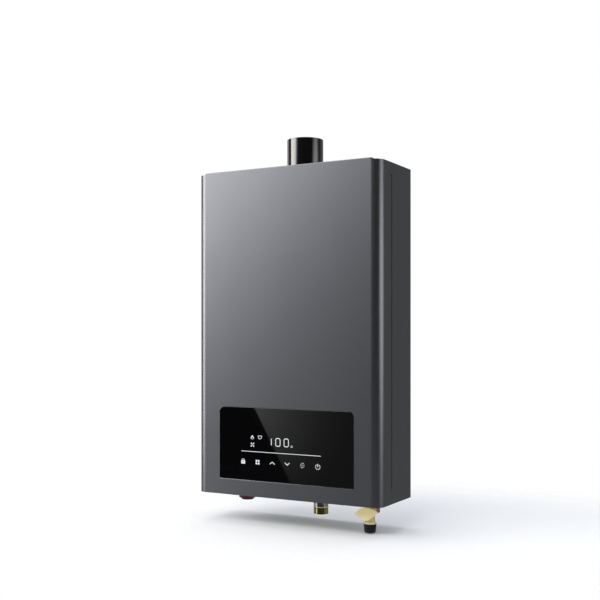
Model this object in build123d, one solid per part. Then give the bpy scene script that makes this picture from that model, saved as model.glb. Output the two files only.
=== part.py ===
from build123d import *
import os
from math import cos, pi, sin

# Wall-hung tankless water heater, in millimetres. +Z is up, the front faces -Y and +X is to the
# right seen from the front. The origin is the centre of the four wall-screw holes, on the wall.

# Body
body_width = 336.0
body_height = 530.0
body_depth = 122.0
sheet = 1.2
duct_sheet = 1.0
overrun = 2.0
fit_gap = 0.05
seat_gap = 0.2

half_width = body_width / 2
top = body_height / 2
bottom = -top
front = -body_depth

# Wall brackets
bracket_sheet = 2.0
bracket_width = 200.0
bracket_lap = 36.0
bracket_ear = 20.0
bracket_corner = 8.0
wall_hole_radius = 4.0
wall_hole_inset = 20.0
wall_hole_rise = 10.0

wall_hole_spacing = bracket_width - 2 * wall_hole_inset
case_back = -bracket_sheet
inside_back = case_back - sheet

# Front cover and its seam with the rear case
cover_corner = 16.0
wing_depth = 43.0
wing_gap = 0.3
seam_gap = 0.4
seam_relief = 1.8
seam_relief_top = 19.5
seam_relief_foot = 23.0
seam_notch_depth = 5.5
seam_notch_height = 3.5
tongue_depth = 14.0
case_bend = 2.0
top_lip = 2.5
lip_bend = 1.0
top_flange_share = 0.164
foot_flange = 16.0
cover_screw_spacing = 200.0
cover_screw_radius = 1.9
cover_screw_head_radius = 4.0
cover_screw_head = 1.6
cover_screw_reach = 9.0
screw_gap = 0.1

seam = front + wing_depth
lip_edge = front + top_flange_share * body_depth
cover_inside = front + sheet
cover_flat_half = half_width - cover_corner
cover_screw_y = front + foot_flange / 2

# Top and bottom panels
tray_front_gap = 3.0
tray_flange = 12.0
foot_rise = 1.8
slot_play = 0.4
louvre_width = 4.0
louvre_length = 44.0
louvre_pitch = 12.0
louvre_count = 6
louvre_room = 28.0
louvre_fitting_room = 21.0

tray_half = half_width - 2 * sheet - wing_gap
tray_front = cover_inside + tray_front_gap
plate_under = bottom + foot_rise
plate_top = plate_under + sheet
panel_under = top - sheet

# Control panel in the cover's window
glass_side = 45.0
glass_height_share = 0.2245
glass_foot_share = 0.049
glass_thickness = 4.0
glass_proud = 0.6
glass_crown_radius = 9.5
glass_foot_radius = 1.0
glass_gap = 0.3
frame_rim = 8.0
frame_ledge = 6.0
frame_back = 2.0
housing_inset = 3.0
housing_depth = 12.0
housing_wall = 1.6
boss_radius = 4.0
boss_height = 4.0
boss_inset = 12.0
board_thickness = 1.6
board_gap = 1.0

glass_width = body_width - 2 * glass_side
glass_low = bottom + glass_foot_share * body_height
glass_high = glass_low + glass_height_share * body_height
glass_front = front - glass_proud
glass_rear = glass_front + glass_thickness
frame_rear = glass_rear + frame_back
housing_rear = frame_rear + housing_depth
housing_half = glass_width / 2 - housing_inset
housing_low = glass_low + housing_inset
housing_high = glass_high - housing_inset

# Flue collar with its two-flap damper
flue_radius = 30.0
flue_wall = 1.0
flue_rise = 55.0
flue_flange_width = 11.0
flue_flange = 1.5
flue_rim_bend = 0.4
gasket_thickness = 2.0
flue_hole_gap = 1.0
flue_screw_count = 4
flue_screw_radius = 2.0
flue_screw_head_radius = 3.6
flue_screw_head = 2.4
flue_screw_reach = 6.0
damper_rise = 22.0
damper_pin_radius = 1.5
damper_eye_wall = 0.7
damper_sheet = 0.8
damper_edge_gap = 1.5
damper_root_gap = 0.3
damper_eye_gap = 0.4
damper_eye_half = 10.0
damper_eye_outer = 22.0
damper_seat_width = 4.0
damper_seat = 1.2

flue_y = (case_back + lip_edge) / 2
flue_flange_radius = flue_radius + flue_flange_width
flue_screw_circle = flue_radius + flue_flange_width / 2
flue_inside = flue_radius - flue_wall
flange_low = top + gasket_thickness
flange_high = flange_low + flue_flange
damper_z = top + damper_rise
damper_eye_radius = damper_pin_radius + fit_gap + damper_eye_wall
flap_low = damper_z - damper_eye_radius

# Fan: volute, motor and impeller on an axis along Y
volute_width = 44.0
scroll_radius = 58.0
scroll_step = 4.0
outlet_width = 52.0
outlet_flange = 10.0
fan_drop_share = 0.14
impeller_radius = 40.0
impeller_gap = 3.0
impeller_disc = 1.2
impeller_side_gap = 4.0
impeller_hub_radius = 7.0
impeller_hub_length = 16.0
blade_count = 24
blade_depth = 7.5
blade_thickness = 0.9
blade_sweep_share = 0.35
blade_bow_share = 0.25
eye_radius = 29.0
motor_plate_lap = 5.0
motor_plate_sheet = 1.2
motor_radius = 27.0
motor_boss_radius = 12.0
motor_boss = 5.0
motor_room = 9.0
motor_bend = 4.0
shaft_radius = 3.0
bearing_wall = 4.0
bearing_length = 4.0

volute_back = flue_y + volute_width / 2
volute_front = flue_y - volute_width / 2
scroll_x = -(scroll_radius - outlet_width / 2)
scroll_z = top - fan_drop_share * body_height
fan_x = scroll_x - scroll_step / 2
fan_z = scroll_z - scroll_step / 2
motor_plate_front = volute_front - motor_plate_sheet
motor_front = cover_inside + motor_room
impeller_front = volute_front + impeller_side_gap
impeller_back = volute_back - impeller_side_gap - duct_sheet

# Heat engine: hood, exchanger and burner in one stack
engine_side_room = 68.0
engine_front_room = 24.8
engine_back_room = 18.8
engine_flange = 6.0
hood_drop_share = 0.185
hood_back_room = 2.8
hood_skirt = 9.0
hood_slope_drop = 60.0
hood_margin = 6.0
exchanger_height_share = 0.2
burner_height_share = 0.15
engine_bracket_width = 120.0
engine_bracket_height = 20.0
engine_bracket_flange = 10.0
engine_bracket_sheet = 1.5
engine_bracket_upper = 30.0
engine_bracket_lower = 46.0

engine_half = half_width - engine_side_room
engine_front = cover_inside + engine_front_room
engine_back = inside_back - engine_back_room
engine_y = (engine_front + engine_back) / 2
exchanger_height = exchanger_height_share * body_height
burner_height = burner_height_share * body_height
exchanger_top = fan_z - hood_drop_share * body_height
exchanger_low = exchanger_top - exchanger_height
burner_low = exchanger_low - burner_height
hood_back = inside_back - hood_back_room
hood_top = fan_z + eye_radius + hood_margin

# Exchanger tubes, fins and the coil round the chamber
tube_radius = 7.0
tube_pitch_share = 0.3
tube_drop_share = 0.3
tube_turn_room = 6.0
tube_stub = 16.0
riser_left_room = 20.0
riser_right_room = 24.0
fin_count = 9
fin_pitch_share = 0.2
fin_thickness = 1.2
fin_height_share = 0.43
pipe_radius = 6.5
coil_gap = 2.2
coil_bend = 13.0
riser_bend = 18.0
coil_low_share = 0.13
coil_pitch_share = 0.22
coil_tail = 40.0

riser_left = engine_half + riser_left_room
riser_right = engine_half + riser_right_room
fin_pitch = fin_pitch_share * engine_half
fin_height = fin_height_share * exchanger_height
tube_pitch = tube_pitch_share * (engine_back - engine_front)
tube_z = exchanger_top - tube_drop_share * exchanger_height
tube_places = (engine_y - tube_pitch, engine_y, engine_y + tube_pitch)
coil_offset = pipe_radius + coil_gap
coil_side = engine_half + coil_offset
coil_front = engine_front - coil_offset
coil_back = engine_back + coil_offset
coil_pitch = coil_pitch_share * exchanger_height
coil_z = exchanger_low + coil_low_share * exchanger_height
coil_start_z = coil_z - coil_tail
tube_joint_z = tube_z - tube_stub

# Thermal cut-out on the front of the exchanger
cutout_radius = 8.0
cutout_depth = 7.0
cutout_x = 34.0
cutout_terminal = 6.0
cutout_terminal_half = 1.0
cutout_terminal_rise = 2.7

# Burner blades, manifold, nozzles and electrodes
burner_count = 9
burner_pitch_share = 0.19
burner_foot_room_share = 0.11
burner_foot_height_share = 0.25
burner_head_height_share = 0.22
burner_head_room_share = 0.32
burner_foot_share = 0.35
burner_neck_share = 0.13
burner_head_share = 0.28
burner_taper_share = 0.24
burner_inlet_share = 0.22
burner_inlet_depth = 20.0
manifold_end_room = 5.0
manifold_edge = 3.0
manifold_height = 20.0
manifold_depth = 12.0
manifold_gap = 5.0
manifold_post_radius = 4.0
manifold_post_room = 4.0
nozzle_radius = 3.0
nozzle_length = 4.5
nozzle_hole_radius = 5.0
electrode_shares = (-0.34, -0.14, 0.34)
electrode_drop_share = 0.16
ceramic_radius = 3.5
ceramic_length = 22.0
ceramic_inside = 6.0
electrode_wire_radius = 1.0
electrode_wire_length = 20.0

burner_pitch = burner_pitch_share * engine_half
burner_foot_half = burner_foot_share * burner_pitch
burner_neck_half = burner_neck_share * burner_pitch
burner_head_half = burner_head_share * burner_pitch
burner_taper = burner_taper_share * burner_pitch
burner_inlet_radius = burner_inlet_share * burner_pitch
burner_foot_room = burner_foot_room_share * burner_height
burner_foot_height = burner_foot_height_share * burner_height
burner_head_height = burner_head_height_share * burner_height
burner_head_room = burner_head_room_share * burner_height
manifold_half = engine_half - manifold_end_room
manifold_post_x = manifold_half - manifold_post_room
manifold_z = burner_low + burner_foot_room + burner_foot_height / 2
manifold_back = engine_front - manifold_gap
manifold_front = manifold_back - manifold_depth
electrode_places = [share * engine_half for share in electrode_shares]
electrode_z = exchanger_low - electrode_drop_share * burner_height
ceramic_rear = engine_front + ceramic_inside

# Pipe connections below
fitting_riser_spacing = 16.2
thread_radius = 9.3
thread_depth = 16.0
passage_radius = 5.0
shoulder_radius = 15.5
shoulder = 2.5
lock_nut_radius = 17.5
lock_nut = 6.0
hole_gap = 0.5

fitting_y = tube_places[-1] - fitting_riser_spacing

# Gas: red collar, socket, valve, solenoids and pipe
gas_room = 12.0
gas_socket_radius = 10.4
gas_socket_drop = 18.0
gas_collar_radius = 14.5
gas_collar_drop = 15.0
gas_valve_rise = 25.0
gas_valve_width = 44.0
gas_valve_depth_share = 0.33
gas_valve_height = 62.0
gas_valve_edge = 3.0
solenoid_radius = 12.0
solenoid_length_share = 0.18
solenoid_pitch = 29.0
solenoid_cheek = 3.0
solenoid_core_radius = 9.0
plunger_radius = 5.0
plunger_length = 16.0
plunger_clearance = 0.08
gas_pipe_radius = 6.0
gas_pipe_bend = 14.0
gas_pipe_drop_share = 0.43

gas_x = -engine_half - gas_room
gas_valve_depth = gas_valve_depth_share * body_depth
solenoid_length = solenoid_length_share * body_depth
valve_low = bottom + gas_valve_rise
valve_high = valve_low + gas_valve_height
valve_front = fitting_y - gas_valve_depth / 2
solenoid_places = (valve_low + gas_valve_height / 2 - solenoid_pitch / 2,
                   valve_low + gas_valve_height / 2 + solenoid_pitch / 2)
gas_turn_z = manifold_z - gas_pipe_drop_share * burner_height

# Hot outlet: brass tail in a chrome sleeve
hot_x = 30.0
hot_radius = 12.15
hot_core_radius = 10.6
hot_drop = 30.6
hot_sleeve_drop = 19.3
hot_rise = 25.0
hot_turn_drop = 30.0

hot_top = bottom + hot_rise

# Cold inlet and its flow sensor
cold_room = 23.0
cold_radius = 12.0
cold_drop = 20.0
cold_rise = 19.0
sensor_radius = 16.0
sensor_height = 60.0
sensor_end = 8.0
sensor_cavity_radius = 12.0
sensor_neck_radius = 11.0
sensor_neck = 10.0
spider_width = 4.0
spider_height = 3.0
rotor_spindle_radius = 1.5
rotor_hub_radius = 4.0
rotor_blade_count = 6
rotor_blade = 1.2
rotor_tip_gap = 0.8
rotor_end_gap = 1.0

cold_x = engine_half + cold_room
sensor_low = bottom + cold_rise
sensor_high = sensor_low + sensor_height
cavity_low = sensor_low + sensor_end
cavity_high = sensor_high - sensor_end - sensor_neck

# Union nuts on the pipes
union_radius = 10.0
union_height = 12.0

# Drain cock in front of the cold inlet
drain_side = 5.0
drain_stand_off = 20.25
drain_top = 8.0
drain_radius = 7.9
drain_ring_radius = 9.1
drain_ring_drop = 32.0
drain_spout_drop = 34.0
drain_spout_radius = 5.5
drain_spout_length = 9.0
drain_bore_radius = 3.0
drain_nipple_drop = 14.0
drain_nipple_radius = 5.0
drain_pivot_drop = 22.0
drain_ball_radius = 5.6
drain_ball_gap = 0.08
drain_ball_turn = 45.0
drain_stem_radius = 3.0
drain_stem_reach = 14.0
handle_boss_radius = 4.5
handle_thickness = 2.5
handle_half_width = 19.5
handle_shoulder = 5.5
handle_crown = 14.7
handle_foot = 4.4
handle_foot_half = 4.5
handle_tip = 2.0
handle_lean = 7.0
cap_top_radius = 10.3
cap_foot_radius = 8.9
cap_height = 14.0
cap_cavity = 11.0
cap_clearance = 0.06
cap_edge = 1.2

drain_x = cold_x + drain_side
drain_y = fitting_y - drain_stand_off
drain_pivot_z = bottom - drain_pivot_drop
drain_ring_low = bottom - drain_spout_drop
handle_front = drain_y - drain_stem_reach

# Control box and igniter
control_left_room = 42.0
control_right_room = 35.0
control_gap = 4.0
control_wall = 2.0
control_edge = 4.0
control_low_room_share = 0.045
control_high_room_share = 0.065
control_bracket_sheet = 1.2
control_bracket_inset = 26.0
control_bracket_room = 18.0
control_bracket_foot = 11.0
control_bracket_drop = 14.0
control_pipe_gap = 1.0
chip_count = 4
chip_height = 12.0
chip_width_share = 0.7
chip_rise = 26.0
chip_room = 14.0
igniter_gap = 6.0
igniter_width = 34.0
igniter_depth = 38.0
igniter_height = 46.0
igniter_edge = 3.0
igniter_rise = 118.0

control_front = housing_rear + control_gap
control_back = fitting_y - union_radius - control_pipe_gap - control_bracket_sheet
control_left = gas_x + control_left_room
control_right = cold_x - control_right_room
control_low = plate_top + control_low_room_share * body_height
control_high = burner_low - control_high_room_share * body_height
control_bracket_left = control_left + control_bracket_inset
control_bracket_right = hot_x - control_bracket_room
igniter_left = -half_width + igniter_gap

# Cable gland in the bottom panel
gland_x = -60.0
gland_distance = 26.0
gland_radius = 8.0
gland_flange_radius = 11.0
gland_flange = 3.0
gland_nose = 9.0
gland_rise = 12.0
gland_bore_radius = 3.6
gland_nut_radius = 12.0
gland_nut = 5.0


def block(x_low, x_high, y_low, y_high, z_low, z_high):
    """Upright box between six limits."""
    size = Box(x_high - x_low, y_high - y_low, z_high - z_low, align=(Align.MIN, Align.MIN, Align.MIN))
    return Pos(x_low, y_low, z_low) * size


def post(x, y, z_low, z_high, radius):
    """Upright round bar."""
    return Pos(x, y, z_low) * Cylinder(radius, z_high - z_low, align=(Align.CENTER, Align.CENTER, Align.MIN))


def peg(x, z, y_low, y_high, radius):
    """Round bar along Y."""
    bar = Cylinder(radius, y_high - y_low, align=(Align.CENTER, Align.CENTER, Align.MIN))
    return Pos(x, y_high, z) * Rot(90, 0, 0) * bar


def rod(y, z, x_low, x_high, radius):
    """Round bar along X."""
    bar = Cylinder(radius, x_high - x_low, align=(Align.CENTER, Align.CENTER, Align.MIN))
    return Pos(x_low, y, z) * Rot(0, 90, 0) * bar


def hex_post(x, y, z_low, z_high, radius):
    """Upright hexagonal bar."""
    return Pos(x, y, z_low) * extrude(RegularPolygon(radius, 6), z_high - z_low)


def turned(x, y, outline):
    """Solid turned about an upright axis from points of (radius, height)."""
    face = make_face(Polyline(*[(radius, 0, height) for radius, height in outline], close=True))
    return Pos(x, y, 0) * revolve(face, Axis.Z)


def along_x(outline, x_low, x_high):
    """Outline of (y, z) points carried along X."""
    face = make_face(Polyline(*[(x_low, y, z) for y, z in outline], close=True))
    return extrude(face, x_high - x_low, dir=(1, 0, 0))


def along_y(outline, y_low, y_high):
    """Outline of (x, z) points carried along Y."""
    face = make_face(Polyline(*[(x, y_low, z) for x, z in outline], close=True))
    return extrude(face, y_high - y_low, dir=(0, 1, 0))


def along_z(outline, z_low, z_high):
    """Outline of (x, y) points carried along Z."""
    face = make_face(Polyline(*[(x, y, z_low) for x, y in outline], close=True))
    return extrude(face, z_high - z_low, dir=(0, 0, 1))


def pipe(points, bend, radius):
    """Round pipe along straight runs joined by bends."""
    path = FilletPolyline(*points, radius=bend)
    section = Plane(origin=path @ 0, z_dir=path % 0) * Circle(radius)
    return sweep(section, path=path)


def save(name, *pieces):
    """Write one named piece, or a group of like pieces, to its own file."""
    solids = [solid for piece in pieces for solid in piece.solids()]
    export_step(solids[0] if len(solids) == 1 else Compound(solids), f"parts/{name}.step")


def front_rounded_block(half, y_low, y_high, radius, z_low, z_high):
    """Upright block whose two front edges are rounded."""
    body = block(-half, half, y_low, y_high, z_low, z_high)
    return fillet(body.edges().filter_by(Axis.Z).group_by(Axis.Y)[0], radius)


def panel_block(margin, y_low, y_high):
    """Block with the outline of the control glass grown by a margin."""
    half = glass_width / 2 + margin
    body = block(-half, half, y_low, y_high, glass_low - margin, glass_high + margin)
    body = fillet(body.edges().filter_by(Axis.Y).group_by(Axis.Z)[-1], glass_crown_radius + margin)
    return fillet(body.edges().filter_by(Axis.Y).group_by(Axis.Z)[0], glass_foot_radius + margin)


def cover_screw_places():
    return (-cover_screw_spacing / 2, cover_screw_spacing / 2)


def make_front_cover():
    """Folded sheet: flat front, round corners, side wings with a relieved edge, top lip and foot flange."""
    outer = front_rounded_block(half_width, front, seam, cover_corner, bottom, top)
    inner = front_rounded_block(half_width - sheet, cover_inside, seam + overrun, cover_corner - sheet,
                                bottom - overrun, top + overrun)
    lip_top = top + top_lip
    lip = along_x([(front, top), (front, lip_top), (lip_edge, lip_top), (lip_edge, lip_top - sheet),
                   (cover_inside, lip_top - sheet), (cover_inside, top)],
                  -cover_flat_half, cover_flat_half)
    bend = lip.edges().filter_by(Axis.X).group_by(Axis.Z)[-1].sort_by(Axis.Y)[0]
    lip = fillet(bend, lip_bend)
    foot = block(-cover_flat_half, cover_flat_half, cover_inside, front + foot_flange, bottom, bottom + sheet)
    cover = outer - inner + lip + foot
    cover -= panel_block(glass_gap, front - overrun, cover_inside + overrun)
    relief_edge, relief_top = seam - seam_relief, top - seam_relief_top
    cover -= block(-half_width - overrun, half_width + overrun, relief_edge, seam + overrun,
                   bottom + seam_relief_foot, relief_top)
    cover -= along_x([(relief_edge, relief_top), (relief_edge - seam_notch_depth, relief_top),
                      (relief_edge, relief_top - seam_notch_height)],
                     -half_width - overrun, half_width + overrun)
    for x in cover_screw_places():
        cover -= post(x, cover_screw_y, bottom - overrun, bottom + sheet + overrun,
                      cover_screw_radius + screw_gap)
    return cover


def make_cover_screws():
    """Two screws that clamp the cover's foot in open slots of the bottom panel."""
    screws = []
    for x in cover_screw_places():
        screws.append(turned(x, cover_screw_y, [
            (0, bottom - cover_screw_head), (cover_screw_head_radius, bottom - cover_screw_head),
            (cover_screw_head_radius, bottom), (cover_screw_radius, bottom),
            (cover_screw_radius, bottom + cover_screw_reach), (0, bottom + cover_screw_reach)]))
    return screws


def make_rear_case():
    """Back and sides from one sheet, joggled inwards where the cover's wings lap over it."""
    joggle = sheet + wing_gap
    step = seam + seam_gap
    tongue = seam - tongue_depth
    half_outline = [(half_width, case_back), (half_width, step), (half_width - joggle, step),
                    (half_width - joggle, tongue), (half_width - joggle - sheet, tongue),
                    (half_width - joggle - sheet, step + sheet), (half_width - sheet, step + sheet),
                    (half_width - sheet, inside_back)]
    mirrored = [(-x, y) for x, y in reversed(half_outline)]
    case = along_z(half_outline + mirrored, bottom, top)
    return fillet(case.edges().filter_by(Axis.Z).group_by(Axis.Y)[-1], case_bend)


def make_tray(z_low, z_high, floor_low, floor_high):
    """Panel with flanges on all sides: a block hollowed on one face."""
    outer = front_rounded_block(tray_half, tray_front, inside_back, cover_corner, z_low, z_high)
    inner = front_rounded_block(tray_half - sheet, tray_front + sheet, inside_back - sheet,
                                cover_corner - sheet, floor_low, floor_high)
    return outer - inner


def make_top_panel():
    """Top panel with the flue hole and its screw holes."""
    panel = make_tray(top - tray_flange, top, top - tray_flange - overrun, panel_under)
    panel -= post(0, flue_y, panel_under - overrun, top + overrun, flue_radius + flue_hole_gap)
    for x, y in flue_screw_places():
        panel -= post(x, y, panel_under - overrun, top + overrun, flue_screw_radius + screw_gap)
    return panel


def make_bottom_panel():
    """Bottom panel with pipe holes, air slots and open slots for the cover screws."""
    rim = plate_under + tray_flange
    panel = make_tray(plate_under, rim, plate_top, rim + overrun)
    low = plate_under - overrun
    holes = ((gas_x, fitting_y, gas_socket_radius), (hot_x, fitting_y, hot_core_radius),
             (cold_x, fitting_y, cold_radius), (gland_x, -gland_distance, gland_radius))
    for x, y, radius in holes:
        panel -= post(x, y, low, rim + overrun, radius + hole_gap)
    slot_half = cover_screw_radius + slot_play
    for x in cover_screw_places():
        panel -= post(x, cover_screw_y, low, rim + overrun, slot_half)
        panel -= block(x - slot_half, x + slot_half, tray_front - overrun, cover_screw_y, low, rim + overrun)
    louvre_x = gas_x + louvre_room
    louvre_y = fitting_y - louvre_fitting_room
    for number in range(louvre_count):
        slot = extrude(Rot(0, 0, 90) * SlotOverall(louvre_length, louvre_width), sheet + 2 * overrun)
        panel -= Pos(louvre_x + number * louvre_pitch, louvre_y, low) * slot
    return panel


def make_wall_bracket(side):
    """Flat bracket on the back of the case, with two screw holes in its ear."""
    edge = side * top
    low, high = sorted((edge - side * bracket_lap, edge + side * bracket_ear))
    bracket = block(-bracket_width / 2, bracket_width / 2, case_back, 0, low, high)
    bracket = fillet(bracket.edges().filter_by(Axis.Y), bracket_corner)
    for x in (-wall_hole_spacing / 2, wall_hole_spacing / 2):
        bracket -= peg(x, edge + side * wall_hole_rise, case_back - overrun, overrun, wall_hole_radius)
    return bracket


def make_control_glass():
    return panel_block(0, glass_front, glass_rear)


def make_glass_frame():
    """Moulded carrier behind the window, with a ledge that the glass lies on."""
    ring = panel_block(frame_rim, cover_inside, frame_rear)
    ring -= panel_block(glass_gap, cover_inside - overrun, glass_rear)
    half = glass_width / 2 - frame_ledge
    return ring - block(-half, half, cover_inside - overrun, frame_rear + overrun,
                        glass_low + frame_ledge, glass_high - frame_ledge)


def board_boss_places():
    half = housing_half - boss_inset
    return [(x, z) for x in (-half, half) for z in (housing_low + boss_inset, housing_high - boss_inset)]


def make_display_housing():
    """Tub behind the glass, with four bosses for the board."""
    floor = housing_rear - housing_wall
    tub = block(-housing_half, housing_half, frame_rear, housing_rear, housing_low, housing_high)
    tub -= block(-housing_half + housing_wall, housing_half - housing_wall, frame_rear - overrun, floor,
                 housing_low + housing_wall, housing_high - housing_wall)
    for x, z in board_boss_places():
        tub += peg(x, z, floor - boss_height, floor, boss_radius)
    return tub


def make_display_board():
    """Circuit board on the bosses of its housing."""
    rear = housing_rear - housing_wall - boss_height
    edge = housing_wall + board_gap
    return block(-housing_half + edge, housing_half - edge, rear - board_thickness, rear,
                 housing_low + edge, housing_high - edge)


def flue_screw_places():
    angles = [(2 * number + 1) * pi / flue_screw_count for number in range(flue_screw_count)]
    return [(flue_screw_circle * cos(angle), flue_y + flue_screw_circle * sin(angle)) for angle in angles]


def make_flue_collar():
    """Spun collar with a base flange and an inner seat for the damper flaps."""
    seat_top = flap_low - screw_gap
    seat_low = seat_top - damper_seat
    collar_top = top + flue_rise
    collar = turned(0, flue_y, [
        (flue_inside, panel_under), (flue_radius, panel_under), (flue_radius, flange_low),
        (flue_flange_radius, flange_low), (flue_flange_radius, flange_high), (flue_radius, flange_high),
        (flue_radius, collar_top), (flue_inside, collar_top), (flue_inside, seat_top),
        (flue_inside - damper_seat_width, seat_top), (flue_inside - damper_seat_width, seat_low),
        (flue_inside, seat_low)])
    rim = collar.edges().group_by(Axis.Z)[-1]
    collar = fillet(rim, flue_rim_bend)
    reach = flue_radius + overrun
    collar -= rod(flue_y, damper_z, -reach, reach, damper_pin_radius + fit_gap)
    for x, y in flue_screw_places():
        collar -= post(x, y, flange_low - overrun, flange_high + overrun, flue_screw_radius + screw_gap)
    return collar


def make_flue_gasket():
    gasket = post(0, flue_y, top, flange_low, flue_flange_radius)
    gasket -= post(0, flue_y, top - overrun, flange_low + overrun, flue_radius + seat_gap)
    for x, y in flue_screw_places():
        gasket -= post(x, y, top - overrun, flange_low + overrun, flue_screw_radius + screw_gap)
    return gasket


def make_flue_screws():
    screws = []
    for x, y in flue_screw_places():
        screw = hex_post(x, y, flange_high, flange_high + flue_screw_head, flue_screw_head_radius)
        screws.append(screw + post(x, y, panel_under - flue_screw_reach, flange_high, flue_screw_radius))
    return screws


def make_damper_pin():
    reach = flue_radius - seat_gap
    return rod(flue_y, damper_z, -reach, reach, damper_pin_radius)


def make_damper_flap(side, own_eyes, other_eyes):
    """Half disc with rolled eyes round the pin, relieved for the eyes of the other flap."""
    radius = flue_inside - damper_edge_gap
    root = flue_y + side * damper_root_gap
    rim = flue_y + side * (radius + overrun)
    flap_high = flap_low + damper_sheet
    flap = post(0, flue_y, flap_low, flap_high, radius)
    flap &= block(-radius, radius, min(root, rim), max(root, rim), flap_low, flap_high)
    clear = damper_eye_radius + damper_eye_gap
    for low, high in other_eyes:
        flap -= block(low - damper_eye_gap, high + damper_eye_gap, flue_y - clear, flue_y + clear,
                      flap_low - overrun, flap_high + overrun)
    for low, high in own_eyes:
        flap += rod(flue_y, damper_z, low, high, damper_eye_radius)
    return flap - rod(flue_y, damper_z, -radius, radius, damper_pin_radius + fit_gap)


def damper_eyes():
    """Stretches of the pin that the front flap's and the rear flap's eyes take."""
    inner = damper_eye_half + damper_eye_gap
    front_eyes = [(-damper_eye_outer, -inner), (inner, damper_eye_outer)]
    rear_eyes = [(-damper_eye_half, damper_eye_half)]
    return front_eyes, rear_eyes


def scroll_face(inset, z_high):
    """Scroll outline in the XZ plane: four quarter arcs of shrinking radius and an upright outlet."""
    radii = [scroll_radius - step * scroll_step - inset for step in range(4)]
    right = scroll_x + radii[0]
    left_wall = scroll_x + scroll_radius - outlet_width + inset
    near_x = scroll_x - scroll_step
    near_z = scroll_z - scroll_step
    tongue_z = scroll_z + (radii[3] ** 2 - (left_wall - near_x) ** 2) ** 0.5
    low = CenterArc((scroll_x, scroll_z), radii[0], 0, -90)
    left = CenterArc((scroll_x, near_z), radii[1], -90, -90)
    high = CenterArc((near_x, near_z), radii[2], 180, -90)
    crown = RadiusArc((near_x, scroll_z + radii[3]), (left_wall, tongue_z), radii[3])
    outlet = Polyline((left_wall, tongue_z), (left_wall, z_high), (right, z_high), (right, scroll_z))
    return make_face([low, left, high, crown, outlet.edges()[0], outlet.edges()[1], outlet.edges()[2]])


def make_fan_volute():
    """Sheet scroll with a round eye behind, a motor opening in front and a flanged outlet on top."""
    outer = extrude(Plane.XZ.offset(-volute_back) * scroll_face(0, panel_under), volute_width)
    hollow = scroll_face(duct_sheet, panel_under + overrun)
    inner = extrude(Plane.XZ.offset(-volute_back + duct_sheet) * hollow, volute_width - 2 * duct_sheet)
    reach = outlet_width / 2 + outlet_flange
    depth = volute_width / 2 + outlet_flange
    rim = block(-reach, reach, flue_y - depth, flue_y + depth, panel_under - duct_sheet, panel_under)
    volute = outer + rim - inner
    for x, y in flue_screw_places():
        volute -= post(x, y, panel_under - duct_sheet - overrun, panel_under + overrun,
                       flue_screw_radius + screw_gap)
    volute -= peg(fan_x, fan_z, volute_back - duct_sheet - overrun, volute_back + overrun, eye_radius)
    return volute - peg(fan_x, fan_z, volute_front - overrun, volute_front + duct_sheet + overrun,
                        impeller_radius + impeller_gap)


def make_motor_plate():
    """Round plate that closes the volute and carries the motor and its bearing."""
    radius = impeller_radius + impeller_gap + motor_plate_lap
    plate = peg(fan_x, fan_z, motor_plate_front, volute_front, radius)
    return plate - peg(fan_x, fan_z, motor_plate_front - overrun, volute_front + overrun,
                       shaft_radius + bearing_wall + fit_gap)


def make_fan_bearing():
    back = motor_plate_front + bearing_length
    ring = peg(fan_x, fan_z, motor_plate_front, back, shaft_radius + bearing_wall)
    return ring - peg(fan_x, fan_z, motor_plate_front - overrun, back + overrun, shaft_radius + fit_gap)


def make_fan_motor():
    """Round motor can with a nose boss, bored for the shaft."""
    can = peg(fan_x, fan_z, motor_front + motor_boss, motor_plate_front, motor_radius)
    can = fillet(can.edges().group_by(Axis.Y)[0], motor_bend)
    can += peg(fan_x, fan_z, motor_front, motor_front + motor_boss, motor_boss_radius)
    return can - peg(fan_x, fan_z, motor_front + motor_boss, motor_plate_front + overrun,
                     shaft_radius + fit_gap)


def make_motor_shaft():
    tip = motor_front + 2 * motor_boss
    return peg(fan_x, fan_z, tip, impeller_front + impeller_hub_length, shaft_radius)


def make_impeller():
    """Squirrel-cage wheel: disc, hub, curved blades and an inlet ring."""
    disc_back = impeller_front + impeller_disc
    ring_front = impeller_back - impeller_disc
    wheel = peg(fan_x, fan_z, impeller_front, disc_back, impeller_radius)
    ring = peg(fan_x, fan_z, ring_front, impeller_back, impeller_radius)
    outer = impeller_radius - blade_thickness
    inner = impeller_radius - blade_depth
    wheel += ring - peg(fan_x, fan_z, ring_front - overrun, impeller_back + overrun, inner)
    wheel += peg(fan_x, fan_z, impeller_front, impeller_front + impeller_hub_length, impeller_hub_radius)
    sweep_angle = blade_sweep_share * 2 * pi / blade_count
    lean = outer * sweep_angle
    middle = (outer + inner) / 2
    bow = blade_bow_share * lean
    hollow = ThreePointArc((inner, 0), (middle, bow), (outer, lean))
    back = ThreePointArc((outer, lean + blade_thickness), (middle, bow + blade_thickness),
                         (inner, blade_thickness))
    outline = make_face([hollow, Line((outer, lean), (outer, lean + blade_thickness)), back,
                         Line((inner, blade_thickness), (inner, 0))])
    for number in range(blade_count):
        place = Plane(origin=(fan_x, ring_front, fan_z), x_dir=(1, 0, 0), z_dir=(0, -1, 0))
        turn = Rot(0, 0, 360 * number / blade_count)
        wheel += extrude(place * (turn * outline), ring_front - disc_back)
    return wheel - peg(fan_x, fan_z, impeller_front - overrun, impeller_back, shaft_radius + fit_gap)


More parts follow.
